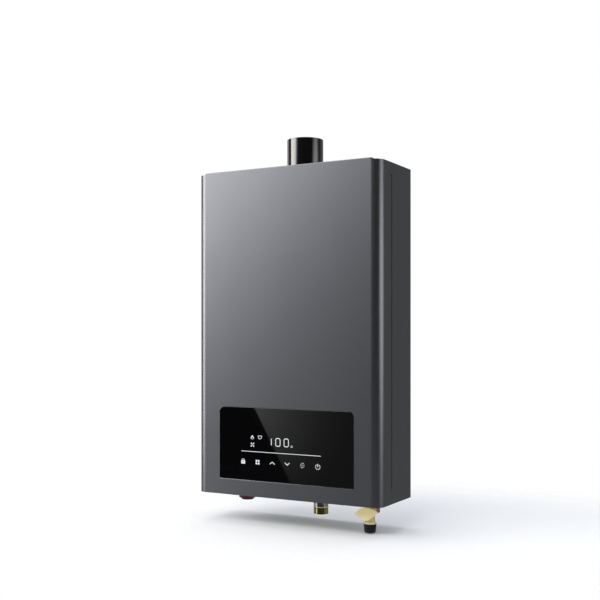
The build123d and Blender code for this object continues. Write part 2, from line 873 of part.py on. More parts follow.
def make_fume_hood():
    """Folded hood that narrows from the exchanger to the eye of the fan."""
    skirt = exchanger_top + hood_skirt
    shoulder_z = fan_z - hood_slope_drop
    chamber_half = eye_radius + hood_margin
    side = [(engine_front, exchanger_top), (engine_front, skirt), (volute_back, shoulder_z),
            (volute_back, hood_top), (hood_back, hood_top), (hood_back, skirt + hood_skirt),
            (engine_back, exchanger_top)]
    face = [(-engine_half, exchanger_top), (-engine_half, skirt), (fan_x - chamber_half, shoulder_z),
            (fan_x - chamber_half, hood_top), (fan_x + chamber_half, hood_top),
            (fan_x + chamber_half, shoulder_z), (engine_half, skirt), (engine_half, exchanger_top)]
    hood = along_x(side, -engine_half, engine_half) & along_y(face, engine_front, hood_back)
    hood = offset(hood, -duct_sheet, openings=hood.faces().sort_by(Axis.Z)[0])
    hood -= peg(fan_x, fan_z, volute_back - overrun, volute_back + duct_sheet + overrun, eye_radius)
    return hood + engine_rim(exchanger_top, exchanger_top + duct_sheet)


def engine_rim(z_low, z_high):
    """Flat joint flange round the heat engine."""
    reach = engine_flange
    rim = block(-engine_half - reach, engine_half + reach, engine_front - reach, engine_back + reach,
                z_low, z_high)
    edge = duct_sheet
    return rim - block(-engine_half + edge, engine_half - edge, engine_front + edge, engine_back - edge,
                       z_low - overrun, z_high + overrun)


def engine_duct(z_low, z_high):
    """Open rectangular duct of the heat engine's section."""
    edge = duct_sheet
    duct = block(-engine_half, engine_half, engine_front, engine_back, z_low, z_high)
    return duct - block(-engine_half + edge, engine_half - edge, engine_front + edge, engine_back - edge,
                        z_low - overrun, z_high + overrun)


def make_exchanger_shell():
    """Copper shell with a flange at each end and holes for the tubes."""
    shell = engine_duct(exchanger_low, exchanger_top)
    shell += engine_rim(exchanger_low, exchanger_low + duct_sheet)
    shell += engine_rim(exchanger_top - duct_sheet, exchanger_top)
    for y in tube_places:
        shell -= rod(y, tube_z, -engine_half - overrun, engine_half + overrun, tube_radius + fit_gap)
    return shell


def make_exchanger_fins():
    """Row of plate fins that the tubes run through."""
    fins = []
    first = -fin_pitch * (fin_count - 1) / 2
    for number in range(fin_count):
        x = first + number * fin_pitch
        fin = block(x - fin_thickness / 2, x + fin_thickness / 2, engine_front + duct_sheet,
                    engine_back - duct_sheet, tube_z - fin_height / 2, tube_z + fin_height / 2)
        for y in tube_places:
            fin -= rod(y, tube_z, x - fin_thickness, x + fin_thickness, tube_radius + fit_gap)
        fins.append(fin)
    return fins


def make_exchanger_tubes():
    """One tube that runs three times through the fins, with a return bend at each side."""
    near, middle, far = tube_places
    turn_x = engine_half + tube_turn_room + tube_pitch / 2
    bend = tube_pitch / 2
    points = [(-riser_left, near, tube_joint_z), (-riser_left, near, tube_z), (turn_x, near, tube_z),
              (turn_x, middle, tube_z), (-turn_x, middle, tube_z), (-turn_x, far, tube_z),
              (riser_right, far, tube_z), (riser_right, far, tube_joint_z)]
    return pipe(points, [bend - seat_gap] * (len(points) - 2), tube_radius)


def make_chamber_coil():
    """Water pipe wound round the combustion chamber, from the cold side up to the fin tubes."""
    high = coil_z + coil_pitch
    points = [(cold_x, fitting_y, coil_start_z), (cold_x, fitting_y, coil_z), (cold_x, coil_front, coil_z),
              (-coil_side, coil_front, coil_z), (-coil_side, coil_back, coil_z), (coil_side, coil_back, high),
              (coil_side, coil_front, high), (-riser_left, coil_front, high),
              (-riser_left, tube_places[0], high), (-riser_left, tube_places[0], tube_joint_z)]
    return pipe(points, coil_bend, pipe_radius)


def make_thermal_cutout():
    """Round thermostat with two blade terminals, on the front of the exchanger."""
    body = peg(cutout_x, tube_z, engine_front - cutout_depth, engine_front, cutout_radius)
    tip = engine_front - cutout_depth - cutout_terminal
    for side in (-1, 1):
        x = cutout_x + side * cutout_radius / 2
        body += block(x - cutout_terminal_half, x + cutout_terminal_half, tip,
                      engine_front - cutout_depth,
                      tube_z - cutout_terminal_rise, tube_z + cutout_terminal_rise)
    return body


def make_engine_brackets():
    """Two hat-section brackets that hold the engine off the back of the case."""
    brackets = []
    half = engine_bracket_height / 2
    for z in (exchanger_top - engine_bracket_upper, burner_low + engine_bracket_lower):
        reach = half + engine_bracket_flange
        t = engine_bracket_sheet
        hat = [(inside_back, z - reach), (inside_back - t, z - reach), (inside_back - t, z - half),
               (engine_back, z - half), (engine_back, z + half), (inside_back - t, z + half),
               (inside_back - t, z + reach), (inside_back, z + reach), (inside_back, z + half - t),
               (engine_back + t, z + half - t), (engine_back + t, z - half + t), (inside_back, z - half + t)]
        brackets.append(along_x(hat, -engine_bracket_width / 2, engine_bracket_width / 2))
    return brackets


def burner_places():
    first = -burner_pitch * (burner_count - 1) / 2
    return [first + number * burner_pitch for number in range(burner_count)]


def make_burner_box():
    """Steel frame of the burner, with nozzle openings and electrode holes in its front."""
    box = engine_duct(burner_low, exchanger_low) + engine_rim(exchanger_low - duct_sheet, exchanger_low)
    for x in burner_places():
        box -= peg(x, manifold_z, engine_front - overrun, engine_front + duct_sheet + overrun,
                   nozzle_hole_radius)
    for x in electrode_places:
        box -= peg(x, electrode_z, engine_front - overrun, engine_front + duct_sheet + overrun,
                   ceramic_radius + fit_gap)
    return box


def make_burner_blades():
    """Slim pressed burners: gas tube below, thin neck and wider port head above."""
    low = burner_low + burner_foot_room
    foot = low + burner_foot_height
    head_top = exchanger_low - burner_head_room
    head_low = head_top - burner_head_height
    half = [(burner_foot_half - burner_taper, low), (burner_foot_half, low + burner_taper),
            (burner_foot_half, foot - burner_taper), (burner_neck_half, foot),
            (burner_neck_half, head_low), (burner_head_half, head_low + burner_taper),
            (burner_head_half, head_top - burner_taper), (burner_neck_half, head_top)]
    outline = half + [(-x, z) for x, z in reversed(half)]
    front_end = engine_front + duct_sheet
    blade = along_y(outline, front_end, engine_back - duct_sheet)
    blade -= peg(0, manifold_z, front_end - overrun, front_end + burner_inlet_depth, burner_inlet_radius)
    return [Pos(x, 0, 0) * blade for x in burner_places()]


def make_gas_manifold():
    """Cast bar that feeds the nozzles, on two posts in front of the burner."""
    half = manifold_height / 2
    bar = block(-manifold_half, manifold_half, manifold_front, manifold_back,
                manifold_z - half, manifold_z + half)
    bar = fillet(bar.edges().filter_by(Axis.X), manifold_edge)
    for x in (-manifold_post_x, manifold_post_x):
        bar += peg(x, manifold_z, manifold_back, engine_front, manifold_post_radius)
    return bar


def make_gas_nozzles():
    tip = manifold_back + nozzle_length
    return [peg(x, manifold_z, manifold_back, tip, nozzle_radius) for x in burner_places()]


def make_electrode_ceramics():
    return [peg(x, electrode_z, ceramic_rear - ceramic_length, ceramic_rear, ceramic_radius)
            for x in electrode_places]


def make_electrode_wires():
    return [peg(x, electrode_z, ceramic_rear, ceramic_rear + electrode_wire_length, electrode_wire_radius)
            for x in electrode_places]


def make_gas_inlet():
    """Threaded socket that passes up through the bottom panel to the valve."""
    mouth = bottom - gas_socket_drop
    return turned(gas_x, fitting_y, [
        (thread_radius, mouth), (gas_socket_radius, mouth), (gas_socket_radius, valve_low),
        (passage_radius, valve_low), (passage_radius, mouth + thread_depth),
        (thread_radius, mouth + thread_depth)])


def make_gas_collar():
    low = bottom - gas_collar_drop
    collar = post(gas_x, fitting_y, low, plate_under, gas_collar_radius)
    return collar - post(gas_x, fitting_y, low - overrun, plate_under + overrun, gas_socket_radius + fit_gap)


def make_gas_valve_body():
    """Cast valve block, bored for the plungers of its two solenoids."""
    half = gas_valve_width / 2
    body = block(gas_x - half, gas_x + half, valve_front, valve_front + gas_valve_depth,
                 valve_low, valve_high)
    body = fillet(body.edges().filter_by(Axis.Z), gas_valve_edge)
    for z in solenoid_places:
        body -= peg(gas_x, z, valve_front - overrun, valve_front + plunger_length / 2,
                    plunger_radius + plunger_clearance)
    return body


def make_gas_solenoids():
    """Two coils with round cheeks, each bored for its plunger."""
    coils = []
    tip = valve_front - solenoid_length
    for z in solenoid_places:
        coil = peg(gas_x, z, tip + solenoid_cheek, valve_front - solenoid_cheek, solenoid_core_radius)
        coil += peg(gas_x, z, tip, tip + solenoid_cheek, solenoid_radius)
        coil += peg(gas_x, z, valve_front - solenoid_cheek, valve_front, solenoid_radius)
        bore = peg(gas_x, z, tip + solenoid_cheek, valve_front + overrun, plunger_radius + plunger_clearance)
        coils.append(coil - bore)
    return coils


def make_gas_plungers():
    """Plungers whose tips close the gas ways in the valve block."""
    rear = valve_front + plunger_length / 2
    return [peg(gas_x, z, rear - plunger_length, rear, plunger_radius) for z in solenoid_places]


def make_gas_pipe():
    points = [(gas_x, fitting_y, valve_high), (gas_x, fitting_y, gas_turn_z),
              (gas_x, manifold_front + manifold_depth / 2, gas_turn_z),
              (gas_x, manifold_front + manifold_depth / 2, manifold_z),
              (-manifold_half, manifold_front + manifold_depth / 2, manifold_z)]
    return pipe(points, gas_pipe_bend, gas_pipe_radius)


def make_hot_outlet_tail():
    """Brass tail with a shouldered end and a threaded mouth."""
    mouth = bottom - hot_drop
    shoulder_z = bottom - hot_sleeve_drop
    return turned(hot_x, fitting_y, [
        (thread_radius, mouth), (hot_radius, mouth), (hot_radius, shoulder_z), (hot_core_radius, shoulder_z),
        (hot_core_radius, hot_top), (passage_radius, hot_top), (passage_radius, mouth + thread_depth),
        (thread_radius, mouth + thread_depth)])


def make_hot_outlet_sleeve():
    low = bottom - hot_sleeve_drop
    inner = hot_core_radius + fit_gap
    return turned(hot_x, fitting_y, [
        (inner, low), (hot_radius, low), (hot_radius, plate_under - shoulder),
        (shoulder_radius, plate_under - shoulder), (shoulder_radius, plate_under), (inner, plate_under)])


def make_cold_inlet():
    """Chrome socket with a shoulder under the bottom panel."""
    mouth = bottom - cold_drop
    return turned(cold_x, fitting_y, [
        (thread_radius, mouth), (cold_radius, mouth), (cold_radius, plate_under - shoulder),
        (shoulder_radius, plate_under - shoulder), (shoulder_radius, plate_under),
        (cold_radius, plate_under), (cold_radius, sensor_low), (passage_radius, sensor_low),
        (passage_radius, mouth + thread_depth), (thread_radius, mouth + thread_depth)])


def make_lock_nuts():
    """Hexagon nuts that hold the three fittings on the bottom panel."""
    nuts = []
    for x, radius in ((gas_x, gas_socket_radius), (hot_x, hot_core_radius), (cold_x, cold_radius)):
        nut = hex_post(x, fitting_y, plate_top, plate_top + lock_nut, lock_nut_radius)
        nuts.append(nut - post(x, fitting_y, plate_top - overrun, plate_top + lock_nut + overrun,
                               radius + fit_gap))
    return nuts


def make_flow_sensor_body():
    """Turned housing with a chamber for the rotor and a spider at each end of it."""
    neck_low = sensor_high - sensor_neck
    body = turned(cold_x, fitting_y, [
        (passage_radius, sensor_low), (sensor_radius, sensor_low), (sensor_radius, neck_low),
        (sensor_neck_radius, neck_low), (sensor_neck_radius, sensor_high), (passage_radius, sensor_high),
        (passage_radius, cavity_high), (sensor_cavity_radius, cavity_high),
        (sensor_cavity_radius, cavity_low), (passage_radius, cavity_low)])
    reach = sensor_cavity_radius
    half = spider_width / 2
    for low in (cavity_low, cavity_high - spider_height):
        high = low + spider_height
        body += block(cold_x - reach, cold_x + reach, fitting_y - half, fitting_y + half, low, high)
        body += block(cold_x - half, cold_x + half, fitting_y - reach, fitting_y + reach, low, high)
    return body - post(cold_x, fitting_y, cavity_low, cavity_high, rotor_spindle_radius + fit_gap)


def make_flow_rotor():
    """Paddle wheel on a spindle that turns in the spiders."""
    low = cavity_low + spider_height + rotor_end_gap
    high = cavity_high - spider_height - rotor_end_gap
    rotor = post(cold_x, fitting_y, low, high, rotor_hub_radius)
    rotor += post(cold_x, fitting_y, cavity_low + fit_gap, cavity_high - fit_gap, rotor_spindle_radius)
    reach = sensor_cavity_radius - rotor_tip_gap
    for number in range(rotor_blade_count):
        paddle = block(0, reach, -rotor_blade / 2, rotor_blade / 2, low, high)
        rotor += Pos(cold_x, fitting_y, 0) * (Rot(0, 0, 360 * number / rotor_blade_count) * paddle)
    return rotor


def make_cold_pipe():
    return post(cold_x, fitting_y, sensor_high, coil_start_z, pipe_radius)


def make_hot_pipe():
    turn_z = burner_low - hot_turn_drop
    points = [(riser_right, tube_places[-1], tube_joint_z), (riser_right, tube_places[-1], turn_z),
              (hot_x, fitting_y, turn_z), (hot_x, fitting_y, hot_top)]
    return pipe(points, riser_bend, pipe_radius)


def make_union_nuts():
    """Hexagon union nuts where the pipes join."""
    places = ((cold_x, fitting_y, sensor_high, pipe_radius),
              (cold_x, fitting_y, coil_start_z - union_height / 2, pipe_radius),
              (hot_x, fitting_y, hot_top, pipe_radius), (gas_x, fitting_y, valve_high, gas_pipe_radius))
    nuts = []
    for x, y, low, radius in places:
        nut = hex_post(x, y, low, low + union_height, union_radius)
        nuts.append(nut - post(x, y, low - overrun, low + union_height + overrun, radius + fit_gap))
    return nuts


def make_drain_body():
    """Brass drain cock: ball chamber, side nipple to the cold inlet, ring and spout."""
    crown = bottom - drain_top
    ring_top = bottom - drain_ring_drop
    spout_low = drain_ring_low - drain_spout_length
    body = turned(drain_x, drain_y, [
        (0, crown), (drain_radius - handle_tip, crown), (drain_radius, crown - handle_tip),
        (drain_radius, ring_top), (drain_ring_radius, ring_top), (drain_ring_radius, drain_ring_low),
        (drain_spout_radius, drain_ring_low), (drain_spout_radius, spout_low), (0, spout_low)])
    body += peg(drain_x, bottom - drain_nipple_drop, drain_y, fitting_y, drain_nipple_radius)
    body -= post(cold_x, fitting_y, bottom - cold_drop - overrun, plate_under, cold_radius + fit_gap)
    body -= Pos(drain_x, drain_y, drain_pivot_z) * Sphere(drain_ball_radius + drain_ball_gap)
    body -= post(drain_x, drain_y, spout_low - overrun, drain_pivot_z, drain_bore_radius)
    return body - peg(drain_x, drain_pivot_z, drain_y - drain_radius - overrun, drain_y,
                      drain_stem_radius + fit_gap)


def make_drain_ball():
    """Ball with its cross hole, and the stem that carries the handle."""
    ball = Pos(drain_x, drain_y, drain_pivot_z) * Rot(0, 0, drain_ball_turn) * Sphere(drain_ball_radius)
    ball += peg(drain_x, drain_pivot_z, handle_front, drain_y - drain_bore_radius, drain_stem_radius)
    reach = drain_ball_radius + overrun
    return ball - rod(drain_y, drain_pivot_z, drain_x - reach, drain_x + reach, drain_bore_radius - fit_gap)


def make_drain_handle():
    """Fan-shaped wing with a boss on the stem."""
    tip_low = (handle_half_width - handle_tip, handle_shoulder - handle_tip)
    tip_high = (handle_half_width - handle_tip / 2, handle_shoulder + handle_tip)
    right = Line((handle_foot_half, -handle_foot), tip_low)
    right_tip = ThreePointArc(tip_low, (handle_half_width, handle_shoulder), tip_high)
    crown = ThreePointArc(tip_high, (0, handle_crown), (-tip_high[0], tip_high[1]))
    left_tip = ThreePointArc((-tip_high[0], tip_high[1]), (-handle_half_width, handle_shoulder),
                             (-tip_low[0], tip_low[1]))
    left = Line((-tip_low[0], tip_low[1]), (-handle_foot_half, -handle_foot))
    foot = ThreePointArc((-handle_foot_half, -handle_foot), (0, -handle_foot - handle_tip / 2),
                         (handle_foot_half, -handle_foot))
    outline = make_face([right, right_tip, crown, left_tip, left, foot])
    wing_back = handle_front + handle_thickness
    place = Plane(origin=(drain_x, wing_back, drain_pivot_z), x_dir=(1, 0, 0), z_dir=(0, -1, 0))
    handle = extrude(place * (Rot(0, 0, handle_lean) * outline), handle_thickness)
    boss_back = drain_y - drain_radius - seat_gap
    handle += peg(drain_x, drain_pivot_z, wing_back, boss_back, handle_boss_radius)
    return handle - peg(drain_x, drain_pivot_z, handle_front - overrun, boss_back + overrun,
                        drain_stem_radius + fit_gap)


def make_drain_cap():
    """Tapered push-on cap with a blind bore for the spout."""
    cap_top = drain_ring_low - seat_gap
    cap_low = cap_top - cap_height
    bore = drain_spout_radius + cap_clearance
    return turned(drain_x, drain_y, [
        (bore, cap_top), (cap_top_radius, cap_top), (cap_foot_radius, cap_low + cap_edge),
        (cap_foot_radius - cap_edge, cap_low), (0, cap_low), (0, cap_top - cap_cavity),
        (bore, cap_top - cap_cavity)])


def make_control_box():
    """Moulded tub of the control unit, open at the front."""
    tub = block(control_left, control_right, control_front, control_back, control_low, control_high)
    tub = fillet(tub.edges().filter_by(Axis.Y), control_edge)
    wall = control_wall
    return tub - block(control_left + wall, control_right - wall, control_front - overrun,
                       control_back - wall, control_low + wall, control_high - wall)


def make_control_board():
    """Circuit board on the floor of the tub, with a transformer and three relays."""
    wall = control_wall
    floor = control_back - wall
    face = floor - board_thickness
    edge = wall + board_gap
    board = block(control_left + edge, control_right - edge, face, floor,
                  control_low + edge, control_high - edge)
    pitch = (control_right - control_left - 2 * edge) / chip_count
    chip_half = chip_width_share * pitch / 2
    low = control_low + edge + chip_room
    for number in range(chip_count):
        x = control_left + edge + (number + 0.5) * pitch
        board += block(x - chip_half, x + chip_half, face - chip_height, face, low, low + chip_rise)
    return board


def make_control_bracket():
    """Angle bracket that carries the control box from the bottom panel."""
    t = control_bracket_sheet
    foot = control_back + control_bracket_foot
    angle = [(control_back, plate_top), (control_back, control_high - control_bracket_drop),
             (control_back + t, control_high - control_bracket_drop), (control_back + t, plate_top + t),
             (foot, plate_top + t), (foot, plate_top)]
    return along_x(angle, control_bracket_left, control_bracket_right)


def make_igniter_module():
    low = bottom + igniter_rise
    box = block(igniter_left, igniter_left + igniter_width, inside_back - igniter_depth, inside_back,
                low, low + igniter_height)
    return fillet(box.edges().filter_by(Axis.Y), igniter_edge)


def make_cable_gland():
    """Moulded gland with a flange, a rounded nose and a nut inside."""
    y = -gland_distance
    nose = plate_under - gland_flange - gland_nose
    body = turned(gland_x, y, [
        (gland_bore_radius, nose), (gland_radius - gland_flange, nose), (gland_radius, nose + gland_flange),
        (gland_radius, plate_under - gland_flange), (gland_flange_radius, plate_under - gland_flange),
        (gland_flange_radius, plate_under), (gland_radius, plate_under),
        (gland_radius, plate_top + gland_rise), (gland_bore_radius, plate_top + gland_rise)])
    nut = hex_post(gland_x, y, plate_top, plate_top + gland_nut, gland_nut_radius)
    nut -= post(gland_x, y, plate_top - overrun, plate_top + gland_nut + overrun, gland_radius + fit_gap)
    return body, nut


os.makedirs("parts", exist_ok=True)

front_eyes, rear_eyes = damper_eyes()

save("front_cover", make_front_cover())
save("cover_screws", *make_cover_screws())
save("control_glass", make_control_glass())
save("glass_frame", make_glass_frame())
save("display_housing", make_display_housing())
save("display_board", make_display_board())
save("rear_case", make_rear_case())
save("top_panel", make_top_panel())
save("bottom_panel", make_bottom_panel())
save("wall_bracket_upper", make_wall_bracket(1))
save("wall_bracket_lower", make_wall_bracket(-1))
save("flue_gasket", make_flue_gasket())
save("flue_collar", make_flue_collar())
save("flue_screws", *make_flue_screws())
save("damper_pin", make_damper_pin())
save("damper_flap_front", make_damper_flap(-1, front_eyes, rear_eyes))
save("damper_flap_rear", make_damper_flap(1, rear_eyes, front_eyes))
save("fan_volute", make_fan_volute())
save("motor_plate", make_motor_plate())
save("fan_bearing", make_fan_bearing())
save("fan_motor", make_fan_motor())
save("motor_shaft", make_motor_shaft())
save("fan_impeller", make_impeller())
save("fume_hood", make_fume_hood())
save("exchanger_shell", make_exchanger_shell())
save("exchanger_fins", *make_exchanger_fins())
save("exchanger_tubes", make_exchanger_tubes())
save("chamber_coil", make_chamber_coil())
save("thermal_cutout", make_thermal_cutout())
save("engine_brackets", *make_engine_brackets())
save("burner_box", make_burner_box())
save("burner_blades", *make_burner_blades())
save("gas_manifold", make_gas_manifold())
save("gas_nozzles", *make_gas_nozzles())
save("electrode_ceramics", *make_electrode_ceramics())
save("electrode_wires", *make_electrode_wires())
save("gas_inlet", make_gas_inlet())
save("gas_collar", make_gas_collar())
save("gas_valve_body", make_gas_valve_body())
save("gas_solenoids", *make_gas_solenoids())
save("gas_plungers", *make_gas_plungers())
save("gas_pipe", make_gas_pipe())
save("hot_outlet_tail", make_hot_outlet_tail())
save("hot_outlet_sleeve", make_hot_outlet_sleeve())
save("cold_inlet", make_cold_inlet())
save("lock_nuts", *make_lock_nuts())
save("flow_sensor_body", make_flow_sensor_body())
save("flow_rotor", make_flow_rotor())
save("cold_pipe", make_cold_pipe())
save("hot_pipe", make_hot_pipe())
save("union_nuts", *make_union_nuts())
save("drain_body", make_drain_body())
save("drain_ball", make_drain_ball())
save("drain_handle", make_drain_handle())
save("drain_cap", make_drain_cap())
save("control_box", make_control_box())
save("control_board", make_control_board())
save("control_bracket", make_control_bracket())
save("igniter_module", make_igniter_module())
save("cable_gland", *make_cable_gland())
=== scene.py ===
from functools import cache
from math import cos, radians, sin, tau

import bmesh
import bpy
from bpy.props import FloatProperty, FloatVectorProperty, PointerProperty
from mathutils import Matrix, Vector


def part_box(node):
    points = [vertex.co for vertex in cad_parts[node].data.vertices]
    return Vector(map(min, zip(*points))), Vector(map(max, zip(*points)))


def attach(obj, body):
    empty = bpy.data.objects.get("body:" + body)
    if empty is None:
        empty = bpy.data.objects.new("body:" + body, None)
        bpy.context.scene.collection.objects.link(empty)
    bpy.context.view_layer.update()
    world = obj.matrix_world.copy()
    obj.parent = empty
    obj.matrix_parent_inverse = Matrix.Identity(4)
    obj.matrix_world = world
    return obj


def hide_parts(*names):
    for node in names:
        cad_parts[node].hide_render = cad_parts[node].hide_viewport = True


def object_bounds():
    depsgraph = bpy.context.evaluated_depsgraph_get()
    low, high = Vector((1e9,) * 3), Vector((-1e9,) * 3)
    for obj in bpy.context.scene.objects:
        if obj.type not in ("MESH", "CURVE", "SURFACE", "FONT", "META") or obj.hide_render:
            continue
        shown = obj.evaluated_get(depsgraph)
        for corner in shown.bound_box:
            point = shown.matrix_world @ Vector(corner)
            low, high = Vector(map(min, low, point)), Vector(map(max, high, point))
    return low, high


bl_info = {
    "name": "Wall-hung water heater",
    "version": (1, 0, 0),
    "blender": (4, 5, 0),
    "location": "3D View > Sidebar > Heater",
    "description": "Finishes, control panel, fastenings, inner fittings and studio for the packed heater",
    "category": "Object",
}

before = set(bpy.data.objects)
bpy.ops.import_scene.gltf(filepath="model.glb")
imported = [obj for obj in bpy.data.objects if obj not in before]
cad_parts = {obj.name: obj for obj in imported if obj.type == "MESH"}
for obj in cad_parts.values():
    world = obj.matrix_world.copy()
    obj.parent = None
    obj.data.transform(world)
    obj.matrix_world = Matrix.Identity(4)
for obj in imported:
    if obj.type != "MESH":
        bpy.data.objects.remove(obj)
CAD_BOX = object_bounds()
MM = 0.001
# A Mix node's sockets for colours share their names with its other sockets, so they go by number.
COLOUR_A, COLOUR_B, COLOUR_OUT = 6, 7, 2
FACING_UP = (0.0, 0.0, 0.0)
FACING_FRONT = (radians(90.0), 0.0, 0.0)
FACING_BACK = (radians(-90.0), 0.0, 0.0)
FACING_DOWN = (radians(180.0), 0.0, 0.0)
FORWARD, BACKWARD, UPWARD = (0, -1, 0), (0, 1, 0), (0, 0, 1)
# The middle of the case, which the studio's cards face.
MIDDLE = (0.0, -0.06, 0.0)


def linear(hex_colour):
    """Turn an sRGB hex colour into the linear RGBA that Blender's sockets take."""
    parts = [int(hex_colour[at:at + 2], 16) / 255 for at in (1, 3, 5)]
    return tuple(c / 12.92 if c <= 0.04045 else ((c + 0.055) / 1.055) ** 2.4 for c in parts) + (1.0,)


def colour(name, description, hex_colour):
    """A colour that a user may change."""
    return FloatVectorProperty(name=name, description=description, subtype="COLOR", size=4,
                               min=0.0, max=1.0, default=linear(hex_colour))


def length(name, description, millimetres, lowest=0.0):
    """A length that a user may change, given in millimetres and kept in metres."""
    return FloatProperty(name=name, description=description, subtype="DISTANCE", unit="LENGTH",
                         min=lowest, default=millimetres * MM, precision=5)


def level(name, description, amount):
    """A brightness or power that a user may change."""
    return FloatProperty(name=name, description=description, min=0.0, default=amount)


class HeaterCase(bpy.types.PropertyGroup):
    """Sheet-metal case and flue."""
    paint: colour("Case paint", "Graphite powder coat of the case", "#75777B")
    paint_drift: colour("Paint drift", "The same coat where it lies a little thinner", "#717377")
    paint_roughness: FloatProperty(name="Paint roughness", description="Roughness of the powder coat",
                                   subtype="FACTOR", min=0.0, max=1.0, default=0.33)
    flue_enamel: colour("Flue enamel", "Stoved black enamel of the flue", "#0A0A0B")
    zinc: colour("Zinc", "Galvanised sheet of brackets, hood and fan case", "#8F9296")
    bead_width: length("Bead width", "Width of the stiffening beads on the back", 16.0)
    bead_length: length("Bead length", "Length of the stiffening beads", 380.0)
    bead_rise: length("Bead rise", "How far the beads stand proud of the back", 1.3)
    bead_pitch: length("Bead pitch", "Distance between the beads", 110.0)
    rivet_radius: length("Rivet radius", "Head radius of the blind rivets on the back", 3.0)
    rivet_height: length("Rivet height", "Head height of the blind rivets", 1.6)


class HeaterPanel(bpy.types.PropertyGroup):
    """Control glass and its lit marks, measured from the middle of the glass's lower edge."""
    glass_tint: colour("Glass tint", "Black print behind the control glass", "#060607")
    glass_corner: length("Glass corner", "Radius of the glass's two upper corners", 9.5)
    glass_foot: length("Glass foot", "Radius of the glass's two lower corners", 1.0)
    glass_bevel: length("Glass bevel", "Ground edge of the glass", 0.5)
    trim_height: length("Trim height", "Bright strip under the glass", 0.6)
    light: colour("Display light", "Colour of the lit marks", "#F4F7FA")
    digit_height: length("Digit height", "Height of the temperature digits", 13.8)
    digit_width: length("Digit width", "Width of a nought", 9.4)
    digit_stroke: length("Digit stroke", "Stroke of the digits", 1.2)
    digit_rise: length("Digit rise", "Middle of the digits above the glass's lower edge", 64.7)
    line_rise: length("Line rise", "Dividing line above the glass's lower edge", 47.3)
    line_length: length("Line length", "Length of the dividing line", 147.4)
    line_stroke: length("Line stroke", "Thickness of the dividing line", 0.85)
    icon_rise: length("Icon rise", "Row of touch icons above the glass's lower edge", 30.6)
    icon_start: length("First icon", "Place of the first touch icon", -76.9, lowest=-0.123)
    icon_pitch: length("Icon pitch", "Distance between touch icons", 27.6)
    icon_stroke: length("Icon stroke", "Stroke of the up and down arrows", 1.15)


class HeaterPipework(bpy.types.PropertyGroup):
    """Fittings, valves and the heat engine."""
    brass: colour("Brass", "Turned brass of the fittings", "#DCCB8C")
    pale_brass: colour("Pale brass", "Tumbled brass of the drain cock and its wing", "#F4E5B0")
    chrome: colour("Chrome", "Plating of the hot outlet's sleeve and the drain's ball", "#D9DBDD")
    gas_collar: colour("Gas collar", "Maroon moulding round the gas inlet", "#5C1C2A")
    moulding: colour("Black moulding", "Black nylon of cap, gland and housings", "#101115")
    copper: colour("Copper", "Drawn copper of tubes and shell", "#C57F58")
    copper_heat: colour("Heat tint", "Copper darkened by brazing heat", "#8E5238")
    screw_radius: length("Screw radius", "Head radius of a full-size screw", 3.4)
    screw_height: length("Screw height", "Head height of a full-size screw", 2.0)
    recess_width: length("Recess width", "Width of a full-size screw's cross recess", 0.9)


class HeaterStudio(bpy.types.PropertyGroup):
    """Floor, lights and camera."""
    floor: colour("Floor", "Pale paper floor", "#F2F3F5")
    floor_reach: FloatVectorProperty(name="Floor reach", subtype="XYZ_LENGTH", unit="LENGTH", size=2,
                                     description="Half length and half depth of the floor",
                                     default=(0.80, 0.46))
    camera_place: FloatVectorProperty(name="Camera place", description="Where the camera stands",
                                      subtype="TRANSLATION", unit="LENGTH",
                                      default=(0.7623, -1.439, -0.0041))
    camera_turn: FloatVectorProperty(name="Camera turn", description="Which way the camera looks",
                                     subtype="EULER", unit="ROTATION",
                                     default=(radians(90.0), 0.0, radians(29.08)))
    camera_lens: FloatProperty(name="Lens", description="Focal length in millimetres on a 36 mm frame",
                               default=57.246)
    camera_shift: FloatVectorProperty(name="Shift", description="Lens shift across and up", size=2,
                                      default=(-0.0008, 0.060))
    key: level("Key card", "Brightness of the soft card at the left", 4.5)
    shine: level("Shine card", "Brightness of the card that the paint mirrors", 5.3)
    rim: level("Rim card", "Brightness of the soft card at the right", 1.95)
    front_fill: level("Fill card", "Brightness of the fill card in front", 7.5)
    fittings_glint: level("Low card", "Brightness of the card that the plated fittings mirror", 3.2)
    lamp: level("Front lamp", "Power of the wide lamp in front, in watts", 20.0)
    overhead: level("Overhead lamp", "Power of the lamp above, in watts", 14.0)
    ambient: level("Ambient", "Strength of the room's fill light", 0.74)


GROUPS = {"heater_case": HeaterCase, "heater_panel": HeaterPanel, "heater_pipework": HeaterPipework,
          "heater_studio": HeaterStudio}


def scene():
    """The scene that is being filled."""
    return bpy.context.scene


def fill(node, sockets):
    """Set a node's sockets from plain values, or link them from other nodes' outputs."""
    for name, value in sockets.items():
        for each in value if isinstance(value, list) else [value]:
            if isinstance(each, bpy.types.NodeSocket):
                node.id_data.links.new(each, node.inputs[name])
            else:
                node.inputs[name].default_value = each
    return node


def add(tree, kind, sockets=None, **settings):
    """Add one node to a tree with its settings and links."""
    node = tree.nodes.new(kind)
    for name, value in settings.items():
        setattr(node, name, value)
    return fill(node, sockets or {})


def start(name):
    """Begin a material: the material, its tree, its shader and the object's own coordinates."""
    made = bpy.data.materials.new(name)
    made.use_nodes = True
    tree = made.node_tree
    place = add(tree, "ShaderNodeTexCoord").outputs["Object"]
    return made, tree, tree.nodes["Principled BSDF"], place


def per(millimetres):
    """Texture scale at which one feature of a pattern is this large."""
    return 1.0 / (millimetres * MM)


